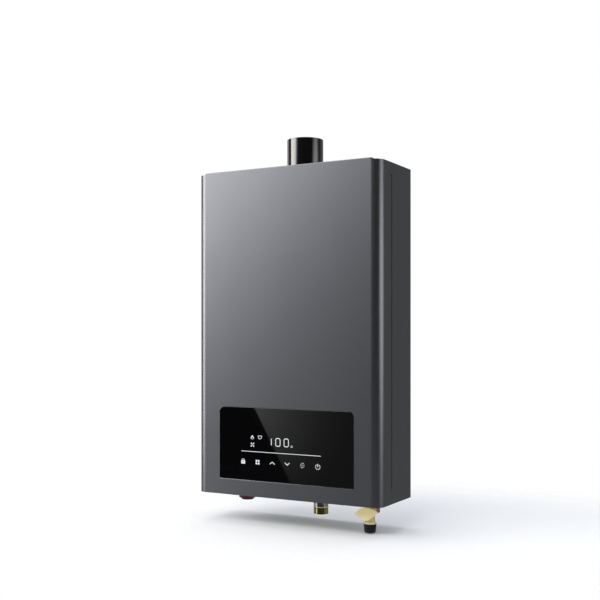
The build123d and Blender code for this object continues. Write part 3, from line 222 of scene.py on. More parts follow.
def surfaced(tree, shader, pattern, finish, tones=None, gloss=None, relief=None):
    """Finish a material: its two tones, its least and most roughness, and its relief follow one pattern.

    Relief is a strength and a depth in millimetres. What is the same all over stands in finish.
    """
    sockets = dict(finish)
    if tones:
        sockets["Base Color"] = add(tree, "ShaderNodeMix", {"Factor": pattern, COLOUR_A: tones[0],
                                                            COLOUR_B: tones[1]},
                                    data_type="RGBA").outputs[COLOUR_OUT]
    if gloss:
        sockets["Roughness"] = add(tree, "ShaderNodeMapRange", {"Value": pattern, "To Min": gloss[0],
                                                                "To Max": gloss[1]}).outputs["Result"]
    if relief:
        sockets["Normal"] = add(tree, "ShaderNodeBump", {"Height": pattern, "Strength": relief[0],
                                                         "Distance": relief[1] * MM}).outputs["Normal"]
    fill(shader, sockets)


def clouded(name, finish, size, detail, swirl=0.0, **look):
    """A material that follows one noise, whose features are so many millimetres across."""
    made, tree, shader, place = start(name)
    cloud = add(tree, "ShaderNodeTexNoise", {"Vector": place, "Scale": per(size), "Detail": detail,
                                             "Distortion": swirl}).outputs["Fac"]
    surfaced(tree, shader, cloud, finish, **look)
    return made


def streaked(name, finish, run, width, detail, **look):
    """A material that follows streaks along X, so many millimetres long and wide."""
    made, tree, shader, place = start(name)
    drawn_out = add(tree, "ShaderNodeMapping", {"Vector": place, "Scale": (per(run), per(width), per(width))})
    streaks = add(tree, "ShaderNodeTexNoise", {"Vector": drawn_out.outputs["Vector"], "Scale": 1.0,
                                               "Detail": detail}).outputs["Fac"]
    surfaced(tree, shader, streaks, finish, **look)
    return made


def flaked(name, finish, size, **look):
    """A material that follows the distance to the middle of flakes, so many millimetres across."""
    made, tree, shader, place = start(name)
    flakes = add(tree, "ShaderNodeTexVoronoi", {"Vector": place, "Scale": per(size)}).outputs["Distance"]
    surfaced(tree, shader, flakes, finish, **look)
    return made


@cache
def powder_coated_steel():
    """Graphite polyester powder baked on steel: a satin metallic skin with soft orange peel."""
    made, tree, shader, place = start("powder_coated_steel")
    case = scene().heater_case
    # Orange peel is about 1 mm across; it is drawn at 2.6 mm so that it shows.
    peel, drift = (add(tree, "ShaderNodeTexNoise", {"Vector": place, "Scale": per(size),
                                                    "Detail": detail}).outputs["Fac"]
                   for size, detail in ((2.6, 2.0), (70.0, 1.0)))
    gloss = add(tree, "ShaderNodeMapRange", {"Value": peel, "From Min": 0.3, "From Max": 0.7,
                                             "To Min": case.paint_roughness - 0.03,
                                             "To Max": case.paint_roughness + 0.03}).outputs["Result"]
    bump = add(tree, "ShaderNodeBump", {"Height": peel, "Strength": 0.05, "Distance": 0.2 * MM})
    surfaced(tree, shader, drift, {"Metallic": 0.95, "Roughness": gloss, "Normal": bump.outputs["Normal"]},
             tones=(tuple(case.paint), tuple(case.paint_drift)))
    return made


@cache
def stoved_enamel():
    """Black enamel stoved on a steel flue: a deep gloss in which lights show as stripes."""
    return clouded("stoved_enamel", {"Base Color": tuple(scene().heater_case.flue_enamel), "IOR": 1.55,
                                     "Coat Weight": 1.0, "Coat IOR": 1.7, "Coat Roughness": 0.13},
                   size=14.0, detail=1.0, gloss=(0.1, 0.18), relief=(0.03, 0.3))


@cache
def back_printed_glass():
    """Float glass printed black on its back: a mirror-smooth black face with faint smears."""
    made, tree, shader, place = start("back_printed_glass")
    smear = add(tree, "ShaderNodeTexNoise", {"Vector": place, "Scale": per(35.0), "Detail": 3.0,
                                             "Distortion": 0.6}).outputs["Fac"]
    gloss = add(tree, "ShaderNodeMapRange", {"Value": smear, "From Min": 0.35, "From Max": 0.75,
                                             "To Min": 0.012, "To Max": 0.035}).outputs["Result"]
    fill(shader, {"Base Color": tuple(scene().heater_panel.glass_tint), "Roughness": gloss, "IOR": 1.52})
    return made


def diffusing_film(name, weakest, strongest):
    """White film with light behind it, a little weaker in some grains than in others."""
    made, tree, shader, place = start(name)
    grain = add(tree, "ShaderNodeTexNoise", {"Vector": place, "Scale": per(4.0), "Detail": 1.0})
    shine = add(tree, "ShaderNodeMapRange", {"Value": grain.outputs["Fac"], "To Min": weakest,
                                             "To Max": strongest})
    fill(shader, {"Base Color": linear("#1A1B1C"), "Roughness": 0.3,
                  "Emission Color": tuple(scene().heater_panel.light),
                  "Emission Strength": shine.outputs["Result"]})
    return made


@cache
def lit_diffuser():
    """Diffusing film over lamps that are on: an even white with a slight grain."""
    return diffusing_film("lit_diffuser", 0.86, 0.98)


@cache
def dim_diffuser():
    """The same film over a weaker lamp: the cycle icon stays grey-white."""
    return diffusing_film("dim_diffuser", 0.42, 0.5)


@cache
def ground_aluminium():
    """Ground aluminium: bright, with fine scratches along its length."""
    # Grinding marks are about 0.1 mm wide; they are drawn at 0.4 mm so that they show.
    return streaked("ground_aluminium", {"Base Color": linear("#A9ACB0"), "Metallic": 1.0},
                    run=30.0, width=0.4, detail=2.0, gloss=(0.2, 0.36))


@cache
def rolled_stainless():
    """Cold-rolled stainless sheet: grey metal with long fine lines from the rolls."""
    # Rolling lines are about 0.1 mm apart; they are drawn at 0.6 mm so that they show.
    return streaked("rolled_stainless", {"Metallic": 1.0}, run=40.0, width=0.6, detail=3.0,
                    tones=(linear("#A9A9A8"), linear("#8F8F8E")), gloss=(0.24, 0.4), relief=(0.04, 0.05))


@cache
def turned_brass():
    """Brass turned on a lathe: warm yellow metal with fine rings from the tool and faint stains."""
    made, tree, shader, place = start("turned_brass")
    # Tool marks are about 0.15 mm apart; they are drawn at 0.8 mm so that they show.
    rings = add(tree, "ShaderNodeTexWave", {"Vector": place, "Scale": per(0.8) / tau, "Distortion": 0.6,
                                            "Detail": 1.0}, bands_direction="Z").outputs["Fac"]
    stain = add(tree, "ShaderNodeTexNoise", {"Vector": place, "Scale": per(9.0), "Detail": 3.0})
    tone = add(tree, "ShaderNodeMix", {"Factor": stain.outputs["Fac"], COLOUR_B: linear("#C8B56F"),
                                       COLOUR_A: tuple(scene().heater_pipework.brass)}, data_type="RGBA")
    surfaced(tree, shader, rings, {"Base Color": tone.outputs[COLOUR_OUT], "Metallic": 1.0},
             gloss=(0.13, 0.24), relief=(0.05, 0.05))
    return made


@cache
def pressed_brass():
    """Pale brass stamped and tumbled: a soft satin face, a little brighter where it was rubbed."""
    return clouded("pressed_brass", {"Metallic": 0.18}, size=5.0, detail=3.0,
                   tones=(tuple(scene().heater_pipework.pale_brass), linear("#E8D596")),
                   gloss=(0.34, 0.48), relief=(0.08, 0.1))


@cache
def forged_brass():
    """Brass forged in a die and tumbled: pale yellow metal with a soft sheen and a fine sandy skin."""
    # The skin's grain is about 0.4 mm; it is drawn at 1.2 mm so that it shows.
    return clouded("forged_brass", {"Metallic": 0.6}, size=1.2, detail=3.0,
                   tones=(tuple(scene().heater_pipework.pale_brass), linear("#E8D596")),
                   gloss=(0.22, 0.34), relief=(0.06, 0.1))


@cache
def chrome_plate():
    """Satin chrome over brass: a soft mirror, with a breath of haze in patches."""
    return clouded("chrome_plate", {"Base Color": tuple(scene().heater_pipework.chrome), "Metallic": 1.0},
                   size=7.0, detail=2.0, gloss=(0.15, 0.26))


@cache
def maroon_polypropylene():
    """Moulded maroon polypropylene: waxy, half-dull, with faint flow clouds."""
    return clouded("maroon_polypropylene", {"IOR": 1.49, "Specular IOR Level": 0.25},
                   size=6.0, detail=2.0, swirl=1.0, gloss=(0.36, 0.5),
                   tones=(tuple(scene().heater_pipework.gas_collar), linear("#48141F")))


@cache
def moulded_nylon():
    """Black glass-filled nylon from a spark-eroded mould: a fine even grain that breaks the shine."""
    # Spark-erosion grain is about 0.2 mm; it is drawn at 0.9 mm so that it shows.
    return clouded("moulded_nylon", {"Base Color": tuple(scene().heater_pipework.moulding), "IOR": 1.53,
                                     "Specular IOR Level": 0.15},
                   size=0.9, detail=2.0, gloss=(0.38, 0.54), relief=(0.12, 0.08))


@cache
def galvanised_sheet():
    """Hot-dipped zinc on sheet steel: pale grey with the broken facets of zinc spangle."""
    made, tree, shader, place = start("galvanised_sheet")
    spangle = add(tree, "ShaderNodeTexVoronoi", {"Vector": place, "Scale": per(7.0), "Randomness": 1.0})
    facet = add(tree, "ShaderNodeSeparateColor", {"Color": spangle.outputs["Color"]}).outputs["Red"]
    surfaced(tree, shader, facet, {"Metallic": 1.0}, gloss=(0.3, 0.46),
             tones=(tuple(scene().heater_case.zinc), linear("#787B7F")))
    return made


@cache
def brazed_copper():
    """Drawn copper after brazing: salmon metal with brown heat tint in clouds."""
    made, tree, shader, place = start("brazed_copper")
    pipework = scene().heater_pipework
    cloud = add(tree, "ShaderNodeTexNoise", {"Vector": place, "Scale": per(28.0), "Detail": 4.0,
                                             "Distortion": 0.8}).outputs["Fac"]
    heat = add(tree, "ShaderNodeMapRange", {"Value": cloud, "From Min": 0.42, "From Max": 0.72})
    tone = add(tree, "ShaderNodeMix", {"Factor": heat.outputs["Result"], COLOUR_A: tuple(pipework.copper),
                                       COLOUR_B: tuple(pipework.copper_heat)}, data_type="RGBA")
    surfaced(tree, shader, cloud, {"Base Color": tone.outputs[COLOUR_OUT], "Metallic": 1.0},
             gloss=(0.22, 0.46))
    return made


@cache
def die_cast_aluminium():
    """Die-cast aluminium, shot-blasted: light grey, dull, with a pebbled skin."""
    # Blast pits are about 0.3 mm; they are drawn at 1 mm so that they show.
    return clouded("die_cast_aluminium", {"Metallic": 1.0}, size=1.0, detail=3.0,
                   tones=(linear("#B9BBBC"), linear("#A0A3A5")), gloss=(0.42, 0.6), relief=(0.25, 0.12))


@cache
def phosphated_steel():
    """Phosphated steel pipe: near-black, dry, with a crystalline mottle."""
    # Phosphate crystals are well under 0.1 mm; their mottle is drawn at 1.6 mm so that it shows.
    return flaked("phosphated_steel", {"Metallic": 0.5, "Roughness": 0.55}, size=1.6,
                  tones=(linear("#1E1D1F"), linear("#302F31")))


@cache
def glazed_alumina():
    """Fired alumina: warm white, glazed, with tiny pores."""
    # Pores are about 0.2 mm; they are drawn at 1.2 mm so that they show.
    return clouded("glazed_alumina", {"Roughness": 0.25, "IOR": 1.6}, size=1.2, detail=2.0,
                   tones=(linear("#EFE9DD"), linear("#DDD5C6")))


@cache
def solder_masked_board():
    """Glass-epoxy board under green solder mask: the copper tracks show as paler lines."""
    made, tree, shader, place = start("solder_masked_board")
    flat = add(tree, "ShaderNodeMapping", {"Vector": place, "Rotation": FACING_FRONT}).outputs["Vector"]
    tracks = add(tree, "ShaderNodeTexBrick", {"Vector": flat, "Scale": per(9.0), "Mortar Size": 0.06,
                                              "Color1": linear("#14502F"), "Color2": linear("#1B5C37"),
                                              "Mortar": linear("#3E8256")}).outputs["Color"]
    fill(shader, {"Base Color": tracks, "Roughness": 0.3, "IOR": 1.5})
    return made


@cache
def moulded_phenolic():
    """Moulded phenolic: dark brown-black, faintly mottled by its wood filler."""
    # Flecks of filler are about 0.3 mm; they are drawn at 1.5 mm so that they show.
    return clouded("moulded_phenolic", {"Roughness": 0.32, "IOR": 1.6}, size=1.5, detail=3.0,
                   tones=(linear("#2B1D18"), linear("#3A2820")))


@cache
def moulded_acetal():
    """Moulded white acetal: milky, smooth, faintly cloudy."""
    return clouded("moulded_acetal", {"Roughness": 0.35, "IOR": 1.48}, size=6.0, detail=2.0,
                   tones=(linear("#E9E8E2"), linear("#DAD8D0")))


@cache
def moulded_rubber():
    """Moulded black rubber: matt, with a dusty grey mottle."""
    return clouded("moulded_rubber", {"Roughness": 0.8}, size=3.0, detail=3.0,
                   tones=(linear("#1C1C1D"), linear("#2A2A2B")))


@cache
def motor_enamel():
    """Black dipping enamel on a motor can: half-gloss with slow runs."""
    return clouded("motor_enamel", {"Base Color": linear("#232427")}, size=10.0, detail=2.0,
                   gloss=(0.26, 0.42), relief=(0.06, 0.3))


@cache
def sleeved_capacitor():
    """Shrunk dark-blue sleeve on an aluminium can: glossy film with a slight wrinkle."""
    return clouded("sleeved_capacitor", {"Roughness": 0.22}, size=2.0, detail=1.0,
                   tones=(linear("#1D2A44"), linear("#263654")), relief=(0.1, 0.1))


@cache
def mica_window():
    """Mica sheet in the burner's sight hole: amber, glassy, with cleavage flakes."""
    return flaked("mica_window", {"Roughness": 0.15, "IOR": 1.58}, size=4.0,
                  tones=(linear("#6B5330"), linear("#9A8052")))


def dress(material, *nodes):
    """Give CAD nodes a finish through their material slots."""
    for node in nodes:
        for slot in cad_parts[node].material_slots:
            slot.material = material


def baked(shape):
    """Close a bmesh into a plain mesh, doubles merged and faces outwards."""
    bmesh.ops.remove_doubles(shape, verts=shape.verts, dist=0.002 * MM)
    bmesh.ops.recalc_face_normals(shape, faces=shape.faces)
    mesh = bpy.data.meshes.new("shape")
    shape.to_mesh(mesh)
    shape.free()
    return mesh


def piece(name, mesh, material, body, stands_for=()):
    """Put a finished mesh in the scene, riding on a body and shaded smooth up to its creases."""
    mesh.name = name
    mesh.materials.clear()
    mesh.materials.append(material)
    mesh.polygons.foreach_set("use_smooth", [True] * len(mesh.polygons))
    mesh.set_sharp_from_angle(angle=radians(20.0))
    made = bpy.data.objects.new(name, mesh)
    scene().collection.objects.link(made)
    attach(made, body)
    if stands_for:
        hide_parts(*stands_for)


def block(shape, low, high, ease):
    """A box with eased edges between two corners."""
    corners = bmesh.ops.create_cube(shape, size=1.0)["verts"]
    middle, size = (Vector(low) + Vector(high)) / 2, Vector(high) - Vector(low)
    for corner in corners:
        corner.co = Vector(c * s for c, s in zip(corner.co, size)) + middle
    edges = list({edge for corner in corners for edge in corner.link_edges})
    bmesh.ops.bevel(shape, geom=edges, offset=ease, segments=2, profile=0.5, affect="EDGES")


def blocks(spans, ease):
    """A mesh of boxes, each between two corners."""
    shape = bmesh.new()
    for low, high in spans:
        block(shape, low, high, ease)
    return baked(shape)


def turn_outline(shape, outline, centre, axis):
    """Turn an outline of (radius, height) points, in millimetres, about an axis through a centre."""
    steps = 48
    lean = Vector(UPWARD).rotation_difference(Vector(axis)).to_matrix()
    rings = []
    for radius, height in outline:
        angles = [tau * n / steps for n in range(steps if radius else 1)]
        circle = [(radius * MM * cos(a), radius * MM * sin(a), height * MM) for a in angles]
        rings.append([shape.verts.new(lean @ Vector(point) + Vector(centre)) for point in circle])
    for low, high in zip(rings, rings[1:]):
        for n in range(steps):
            ahead = n + 1
            loop = [low[n % len(low)], low[ahead % len(low)], high[ahead % len(high)], high[n % len(high)]]
            loop = list(dict.fromkeys(loop))
            if len(loop) > 2:
                shape.faces.new(loop)


def turned(outline, centres, axis):
    """A mesh of like turned shapes, one about each centre."""
    shape = bmesh.new()
    for centre in centres:
        turn_outline(shape, outline, centre, axis)
    return baked(shape)


def slabs(outlines, near, far, ease):
    """A mesh of plates in the XZ plane between two Y values, their near edges eased."""
    shape = bmesh.new()
    for outline in outlines:
        # A point where one arc ends and the next begins is kept once.
        corners = dict.fromkeys((round(x, 7), round(z, 7)) for x, z in outline)
        face = shape.faces.new([shape.verts.new((x, far, z)) for x, z in corners])
        moved = bmesh.ops.extrude_face_region(shape, geom=[face])["geom"]
        for corner in (v for v in moved if isinstance(v, bmesh.types.BMVert)):
            corner.co.y = near
        front = next(f for f in moved if isinstance(f, bmesh.types.BMFace))
        bmesh.ops.bevel(shape, geom=list(front.edges), offset=ease, segments=2, profile=0.5, affect="EDGES")
    return baked(shape)


def eased(node, width):
    """A merged copy of a CAD node's mesh with its sharp edges rounded over."""
    shape = bmesh.new()
    shape.from_mesh(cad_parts[node].data)
    bmesh.ops.remove_doubles(shape, verts=shape.verts, dist=0.001 * MM)
    bmesh.ops.dissolve_limit(shape, angle_limit=radians(0.5), verts=shape.verts, edges=shape.edges)
    sharp = [e for e in shape.edges if e.is_manifold and e.calc_face_angle() > radians(40.0)]
    bmesh.ops.bevel(shape, geom=sharp, offset=width, segments=2, profile=0.5, affect="EDGES",
                    clamp_overlap=True)
    mesh = baked(shape)
    # The CAD mesh's own normals don't fit the rounded edges.
    if "custom_normal" in mesh.attributes:
        mesh.attributes.remove(mesh.attributes["custom_normal"])
    return mesh


def arc(u, v, radius, begin, sweep, steps):
    """Points on an arc, its two ends among them."""
    return [(u + radius * cos(begin + sweep * n / steps), v + radius * sin(begin + sweep * n / steps))
            for n in range(steps + 1)]


def ring(u, v, radius):
    """A circle."""
    return arc(u, v, radius, 0.0, tau, 32)[:-1]


def band(u, v, outer, inner, begin, sweep):
    """A bent stroke between two radii."""
    return arc(u, v, outer, begin, sweep, 24) + arc(u, v, inner, begin + sweep, -sweep, 24)


def rounded(u, v, width, height, corner):
    """A rectangle with round corners."""
    across, up = width / 2 - corner, height / 2 - corner
    quarter = tau / 4
    ways = ((1, 1), (-1, 1), (-1, -1), (1, -1))
    return [point for n, (side, end) in enumerate(ways)
            for point in arc(u + side * across, v + end * up, corner, n * quarter, quarter, 8)]


def bar(u, v, width, height):
    """A stroke with round ends, which stop a little short of half circles."""
    return rounded(u, v, width, height, min(width, height) / 2.2)


def drop(u, v, width, height, turn):
    """A drop whose point is turned so far from straight up, as in flames and fan blades."""
    steps, slimness = 28, 1.6
    points = []
    for n in range(steps):
        t = tau * n / steps
        across, up = width * sin(t) * sin(t / 2) ** slimness, height * cos(t)
        points.append((u + across * cos(turn) - up * sin(turn), v + across * sin(turn) + up * cos(turn)))
    return points


def chevron(u, v, width, rise, stroke):
    """An arrow head of two leaning strokes; a negative rise points it down."""
    upright = 1.3 * stroke if rise > 0 else -1.3 * stroke
    edge = [(u - width / 2, v - rise / 2), (u, v + rise / 2), (u + width / 2, v - rise / 2)]
    return edge + [(across, up - upright) for across, up in reversed(edge)]


def inlay(outlines, foot, front, thickness):
    """Flat marks standing in the XZ plane, cut from outlines in millimetres across and above a foot."""
    curve = bpy.data.curves.new("marks", "CURVE")
    curve.dimensions = "2D"
    curve.fill_mode = "BOTH"
    curve.extrude = thickness / 2
    for outline in outlines:
        spline = curve.splines.new("POLY")
        spline.points.add(len(outline) - 1)
        for point, (u, v) in zip(spline.points, outline):
            point.co = (u * MM, foot + v * MM, 0.0, 1.0)
        spline.use_cyclic_u = True
    holder = bpy.data.objects.new("marks", curve)
    flat = bpy.data.meshes.new_from_object(holder)
    bpy.data.objects.remove(holder)
    upright = Matrix.Rotation(radians(90.0), 4, "X")
    flat.transform(Matrix.Translation((0.0, front + thickness / 2, 0.0)) @ upright)
    shape = bmesh.new()
    shape.from_mesh(flat)
    return baked(shape)


def new_tree(name, **inputs):
    """A geometry-nodes tree with named inputs and one geometry output; gives the tree and its inputs."""
    tree = bpy.data.node_groups.new(name, "GeometryNodeTree")
    for label, kind in {**inputs, "Turn": "Vector", "Finish": "Material"}.items():
        tree.interface.new_socket(label, in_out="INPUT", socket_type="NodeSocket" + kind)
    tree.interface.new_socket("Result", in_out="OUTPUT", socket_type="NodeSocketGeometry")
    return tree, add(tree, "NodeGroupInput").outputs


def scatter(tree, given, shape, points):
    """End a tree: one turned copy of a shape on every point, made real and given its finish."""
    turn = add(tree, "FunctionNodeEulerToRotation", {"Euler": given["Turn"]}).outputs["Rotation"]
    copies = add(tree, "GeometryNodeInstanceOnPoints",
                 {"Points": points, "Instance": shape, "Rotation": turn}).outputs["Instances"]
    real = add(tree, "GeometryNodeRealizeInstances", {"Geometry": copies}).outputs["Geometry"]
    finished = add(tree, "GeometryNodeSetMaterial", {"Geometry": real, "Material": given["Finish"]})
    add(tree, "NodeGroupOutput", {"Result": finished.outputs["Geometry"]})
    return tree


@cache
def pan_head_tree():
    """Pan-head screws with a cross recess, standing on points."""
    tree, given = new_tree("pan_head_screws", Points="Geometry", Radius="Float", Height="Float",
                           Recess="Float")
    crown, reach = (
        add(tree, "ShaderNodeMath", {0: given["Radius"], 1: share}, operation="MULTIPLY").outputs[0]
        for share in (0.8, 1.2))
    head = add(tree, "GeometryNodeMeshCone", {"Vertices": 20, "Radius Top": crown, "Depth": given["Height"],
                                              "Radius Bottom": given["Radius"]}).outputs["Mesh"]
    lift = add(tree, "ShaderNodeCombineXYZ", {"Z": given["Height"]}).outputs["Vector"]
    slots = []
    for long, short in (("X", "Y"), ("Y", "X")):
        size = add(tree, "ShaderNodeCombineXYZ", {long: reach, short: given["Recess"], "Z": given["Height"]})
        slot = add(tree, "GeometryNodeMeshCube", {"Size": size.outputs["Vector"]}).outputs["Mesh"]
        raised = add(tree, "GeometryNodeTransform", {"Geometry": slot, "Translation": lift})
        slots.append(raised.outputs["Geometry"])
    cross = add(tree, "GeometryNodeMeshBoolean", {"Mesh 2": slots}, operation="UNION", solver="EXACT")
    cut = add(tree, "GeometryNodeMeshBoolean", {"Mesh 1": head, "Mesh 2": cross.outputs["Mesh"]},
              operation="DIFFERENCE", solver="EXACT")
    return scatter(tree, given, cut.outputs["Mesh"], given["Points"])


@cache
def hex_head_tree():
    """Hexagon screws on a pressed washer, standing on points."""
    tree, given = new_tree("hex_head_screws", Points="Geometry", Radius="Float", Height="Float")
    washer_rise, flats_rise, flats_foot = (
        add(tree, "ShaderNodeMath", {0: given["Height"], 1: share}, operation="MULTIPLY").outputs[0]
        for share in (0.28, 0.86, 0.14))
    rim, flats_radius, crown = (
        add(tree, "ShaderNodeMath", {0: given["Radius"], 1: share}, operation="MULTIPLY").outputs[0]
        for share in (0.9, 0.78, 0.7))
    washer = add(tree, "GeometryNodeMeshCone", {"Vertices": 28, "Radius Top": rim, "Depth": washer_rise,
                                                "Radius Bottom": given["Radius"]}).outputs["Mesh"]
    flats = add(tree, "GeometryNodeMeshCone", {"Vertices": 6, "Radius Top": crown, "Depth": flats_rise,
                                               "Radius Bottom": flats_radius}).outputs["Mesh"]
    lift = add(tree, "ShaderNodeCombineXYZ", {"Z": flats_foot}).outputs["Vector"]
    raised = add(tree, "GeometryNodeTransform", {"Geometry": flats, "Translation": lift}).outputs["Geometry"]
    head = add(tree, "GeometryNodeMeshBoolean", {"Mesh 2": [washer, raised]}, operation="UNION",
               solver="EXACT")
    return scatter(tree, given, head.outputs["Mesh"], given["Points"])


@cache
def rivet_tree():
    """Domed rivet heads, standing on points."""
    tree, given = new_tree("dome_rivets", Points="Geometry", Radius="Float", Height="Float")
    half, cap_foot = (
        add(tree, "ShaderNodeMath", {0: given["Height"], 1: share}, operation="MULTIPLY").outputs[0]
        for share in (0.5, 0.45))
    shoulder, crown = (
        add(tree, "ShaderNodeMath", {0: given["Radius"], 1: share}, operation="MULTIPLY").outputs[0]
        for share in (0.86, 0.4))
    foot = add(tree, "GeometryNodeMeshCone", {"Vertices": 20, "Radius Top": shoulder, "Depth": half,
                                              "Radius Bottom": given["Radius"]}).outputs["Mesh"]
    cap = add(tree, "GeometryNodeMeshCone", {"Vertices": 20, "Radius Top": crown, "Depth": half,
                                             "Radius Bottom": shoulder}).outputs["Mesh"]
    lift = add(tree, "ShaderNodeCombineXYZ", {"Z": cap_foot}).outputs["Vector"]
    raised = add(tree, "GeometryNodeTransform", {"Geometry": cap, "Translation": lift}).outputs["Geometry"]
    dome = add(tree, "GeometryNodeMeshBoolean", {"Mesh 2": [foot, raised]}, operation="UNION", solver="EXACT")
    return scatter(tree, given, dome.outputs["Mesh"], given["Points"])


@cache
def fin_row_tree():
    """A row of like fins, the first of them on each point."""
    tree, given = new_tree("fin_row", Points="Geometry", Count="Int", Step="Vector", Size="Vector")
    fin = add(tree, "GeometryNodeMeshCube", {"Size": given["Size"]}).outputs["Mesh"]
    line = add(tree, "GeometryNodeMeshLine", {"Count": given["Count"], "Offset": given["Step"]},
               mode="OFFSET")
    row = add(tree, "GeometryNodeInstanceOnPoints", {"Points": line.outputs["Mesh"], "Instance": fin})
    return scatter(tree, given, row.outputs["Instances"], given["Points"])


def grown(name, tree, points, material, body, slot, stands_for=(), **values):
    """Run a geometry-nodes tree over points and keep what it makes as a plain mesh piece."""
    cloud = bpy.data.meshes.new(name)
    cloud.from_pydata(points, [], [])
    holder = bpy.data.objects.new(name + "_points", cloud)
    scene().collection.objects.link(holder)
    grow = holder.modifiers.new("Grow", "NODES")
    grow.node_group = tree
    values["Finish"] = material
    for item in tree.interface.items_tree:
        if item.in_out == "INPUT" and item.name in values:
            grow[item.identifier] = values[item.name]
    mesh = bpy.data.meshes.new_from_object(holder.evaluated_get(bpy.context.evaluated_depsgraph_get()))
    bpy.data.objects.remove(holder)
    if not mesh.polygons:
        raise RuntimeError(f"{name}: the tree made nothing")
    piece(name, mesh, material, body, stands_for)


def screws(name, points, body, turn, size, tree=pan_head_tree, stands_for=()):
    """A set of like screws on one body, at a share of the full size."""
    pipework = scene().heater_pipework
    grown(name, tree(), points, rolled_stainless(), body, "stainless", stands_for, Turn=turn,
          Radius=pipework.screw_radius * size, Height=pipework.screw_height * size,
          Recess=pipework.recess_width * size)


class HEATER_OT_paint_case(bpy.types.Operator):
    """Paint the case, finish the brackets behind it and lay a dark strip in its seam as painted shade"""
    bl_idname = "heater.paint_case"
    bl_label = "Paint the case"

    def execute(self, context):
        dress(powder_coated_steel(), "front_cover", "rear_case", "top_panel", "bottom_panel")
        dress(galvanised_sheet(), "wall_bracket_upper", "wall_bracket_lower")
        dress(moulded_nylon(), "glass_frame", "display_housing")
        dress(solder_masked_board(), "display_board")
        cover_low, cover_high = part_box("front_cover")
        self.shade_the_seam(cover_high.y)
        low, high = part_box("cover_screws")
        head_radius = 4.0 * MM
        points = [(x, (low.y + high.y) / 2, cover_low.z) for x in (low.x + head_radius, high.x - head_radius)]
        screws("cover_screw_heads", points, "cover", FACING_DOWN, size=0.78, stands_for=("cover_screws",))
        return {"FINISHED"}

    def shade_the_seam(self, wing_edge):
        """A black rubber strip on both sides of the case, showing as a dark line where the cover's wings end:
        painted shade for the seam's gap.
        """
        inset, thickness, ease, showing = 1.5 * MM, 0.2 * MM, 0.06 * MM, 0.3 * MM
        front_gap, foot_gap, head_gap = 5.0 * MM, 22.0 * MM, 18.0 * MM
        low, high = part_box("rear_case")
        spans = []
        for side in (-1, 1):
            near, far = sorted((side * (high.x - inset), side * (high.x - inset + thickness)))
            spans.append(((near, low.y + front_gap, low.z + foot_gap),
                          (far, wing_edge + showing, high.z - head_gap)))
        # The black strip is painted shade, standing for the shadow in the gap of the seam.
        piece("seam_shade_strip", blocks(spans, ease), moulded_rubber(), "heater")


class HEATER_OT_press_back(bpy.types.Operator):
    """Press the stiffening beads and set the rivets in the back of the case"""
    bl_idname = "heater.press_back"
    bl_label = "Press the back"

    def execute(self, context):
        case = context.scene.heater_case
        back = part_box("rear_case")[1].y
        sunk, ease = 0.5 * MM, 1.1 * MM
        wide, long = case.bead_width, case.bead_length
        beads = [rounded(column * case.bead_pitch, 0.0, wide, long, wide / 2) for column in (-1, 0, 1)]
        piece("back_beads", slabs(beads, back + case.bead_rise, back - sunk, ease), powder_coated_steel(),
              "heater")
        end_columns, end_rows = (-156.0, -128.0, 128.0, 156.0), (-258.0, 258.0)
        side_columns, side_rows = (-160.0, 160.0), (-170.0, -60.0, 60.0, 170.0)
        places = [(x, z) for x in end_columns for z in end_rows]
        places += [(x, z) for x in side_columns for z in side_rows]
        grown("back_rivets", rivet_tree(), [(x * MM, back, z * MM) for x, z in places], rolled_stainless(),
              "heater", "stainless", Radius=case.rivet_radius, Height=case.rivet_height, Turn=FACING_BACK)
        return {"FINISHED"}


class HEATER_OT_enamel_flue(bpy.types.Operator):
    """Enamel the flue, finish its damper and set its four screws"""
    bl_idname = "heater.enamel_flue"
    bl_label = "Enamel the flue"

    def execute(self, context):
        dress(stoved_enamel(), "flue_collar")
        dress(moulded_rubber(), "flue_gasket")
        dress(rolled_stainless(), "damper_pin", "damper_flap_front", "damper_flap_rear")
        low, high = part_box("flue_screws")
        head_radius, flange_sheet = 3.6 * MM, 1.5 * MM
        flange_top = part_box("flue_gasket")[1].z + flange_sheet
        points = [(x, y, flange_top) for x in (low.x + head_radius, high.x - head_radius)
                  for y in (low.y + head_radius, high.y - head_radius)]
        screws("flue_screw_heads", points, "heater", FACING_UP, size=1.15, tree=hex_head_tree,
               stands_for=("flue_screws",))
        return {"FINISHED"}


class HEATER_OT_glaze_panel(bpy.types.Operator):
    """Set the control glass and the bright strip under it"""
    bl_idname = "heater.glaze_panel"
    bl_label = "Glaze the panel"

    def execute(self, context):
        panel = context.scene.heater_panel
        low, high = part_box("control_glass")
        corner, foot, quarter = panel.glass_corner, panel.glass_foot, tau / 4
        outline = (arc(high.x - corner, high.z - corner, corner, 0.0, quarter, 10)
                   + arc(low.x + corner, high.z - corner, corner, quarter, quarter, 10)
                   + arc(low.x + foot, low.z + foot, foot, 2 * quarter, quarter, 4)
                   + arc(high.x - foot, low.z + foot, foot, 3 * quarter, quarter, 4))
        # The pane's face lies a hair behind the lit marks.
        face = low.y + 0.04 * MM
        piece("control_pane", slabs([outline], face, high.y, panel.glass_bevel), back_printed_glass(),
              "cover", ("control_glass",))
        cover_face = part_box("front_cover")[0].y
        gap, ease = 0.1 * MM, 0.15 * MM
        strip = ((low.x, low.y, low.z - panel.trim_height), (high.x, cover_face, low.z - gap))
        piece("pane_trim", blocks([strip], ease), ground_aluminium(), "cover")
        return {"FINISHED"}


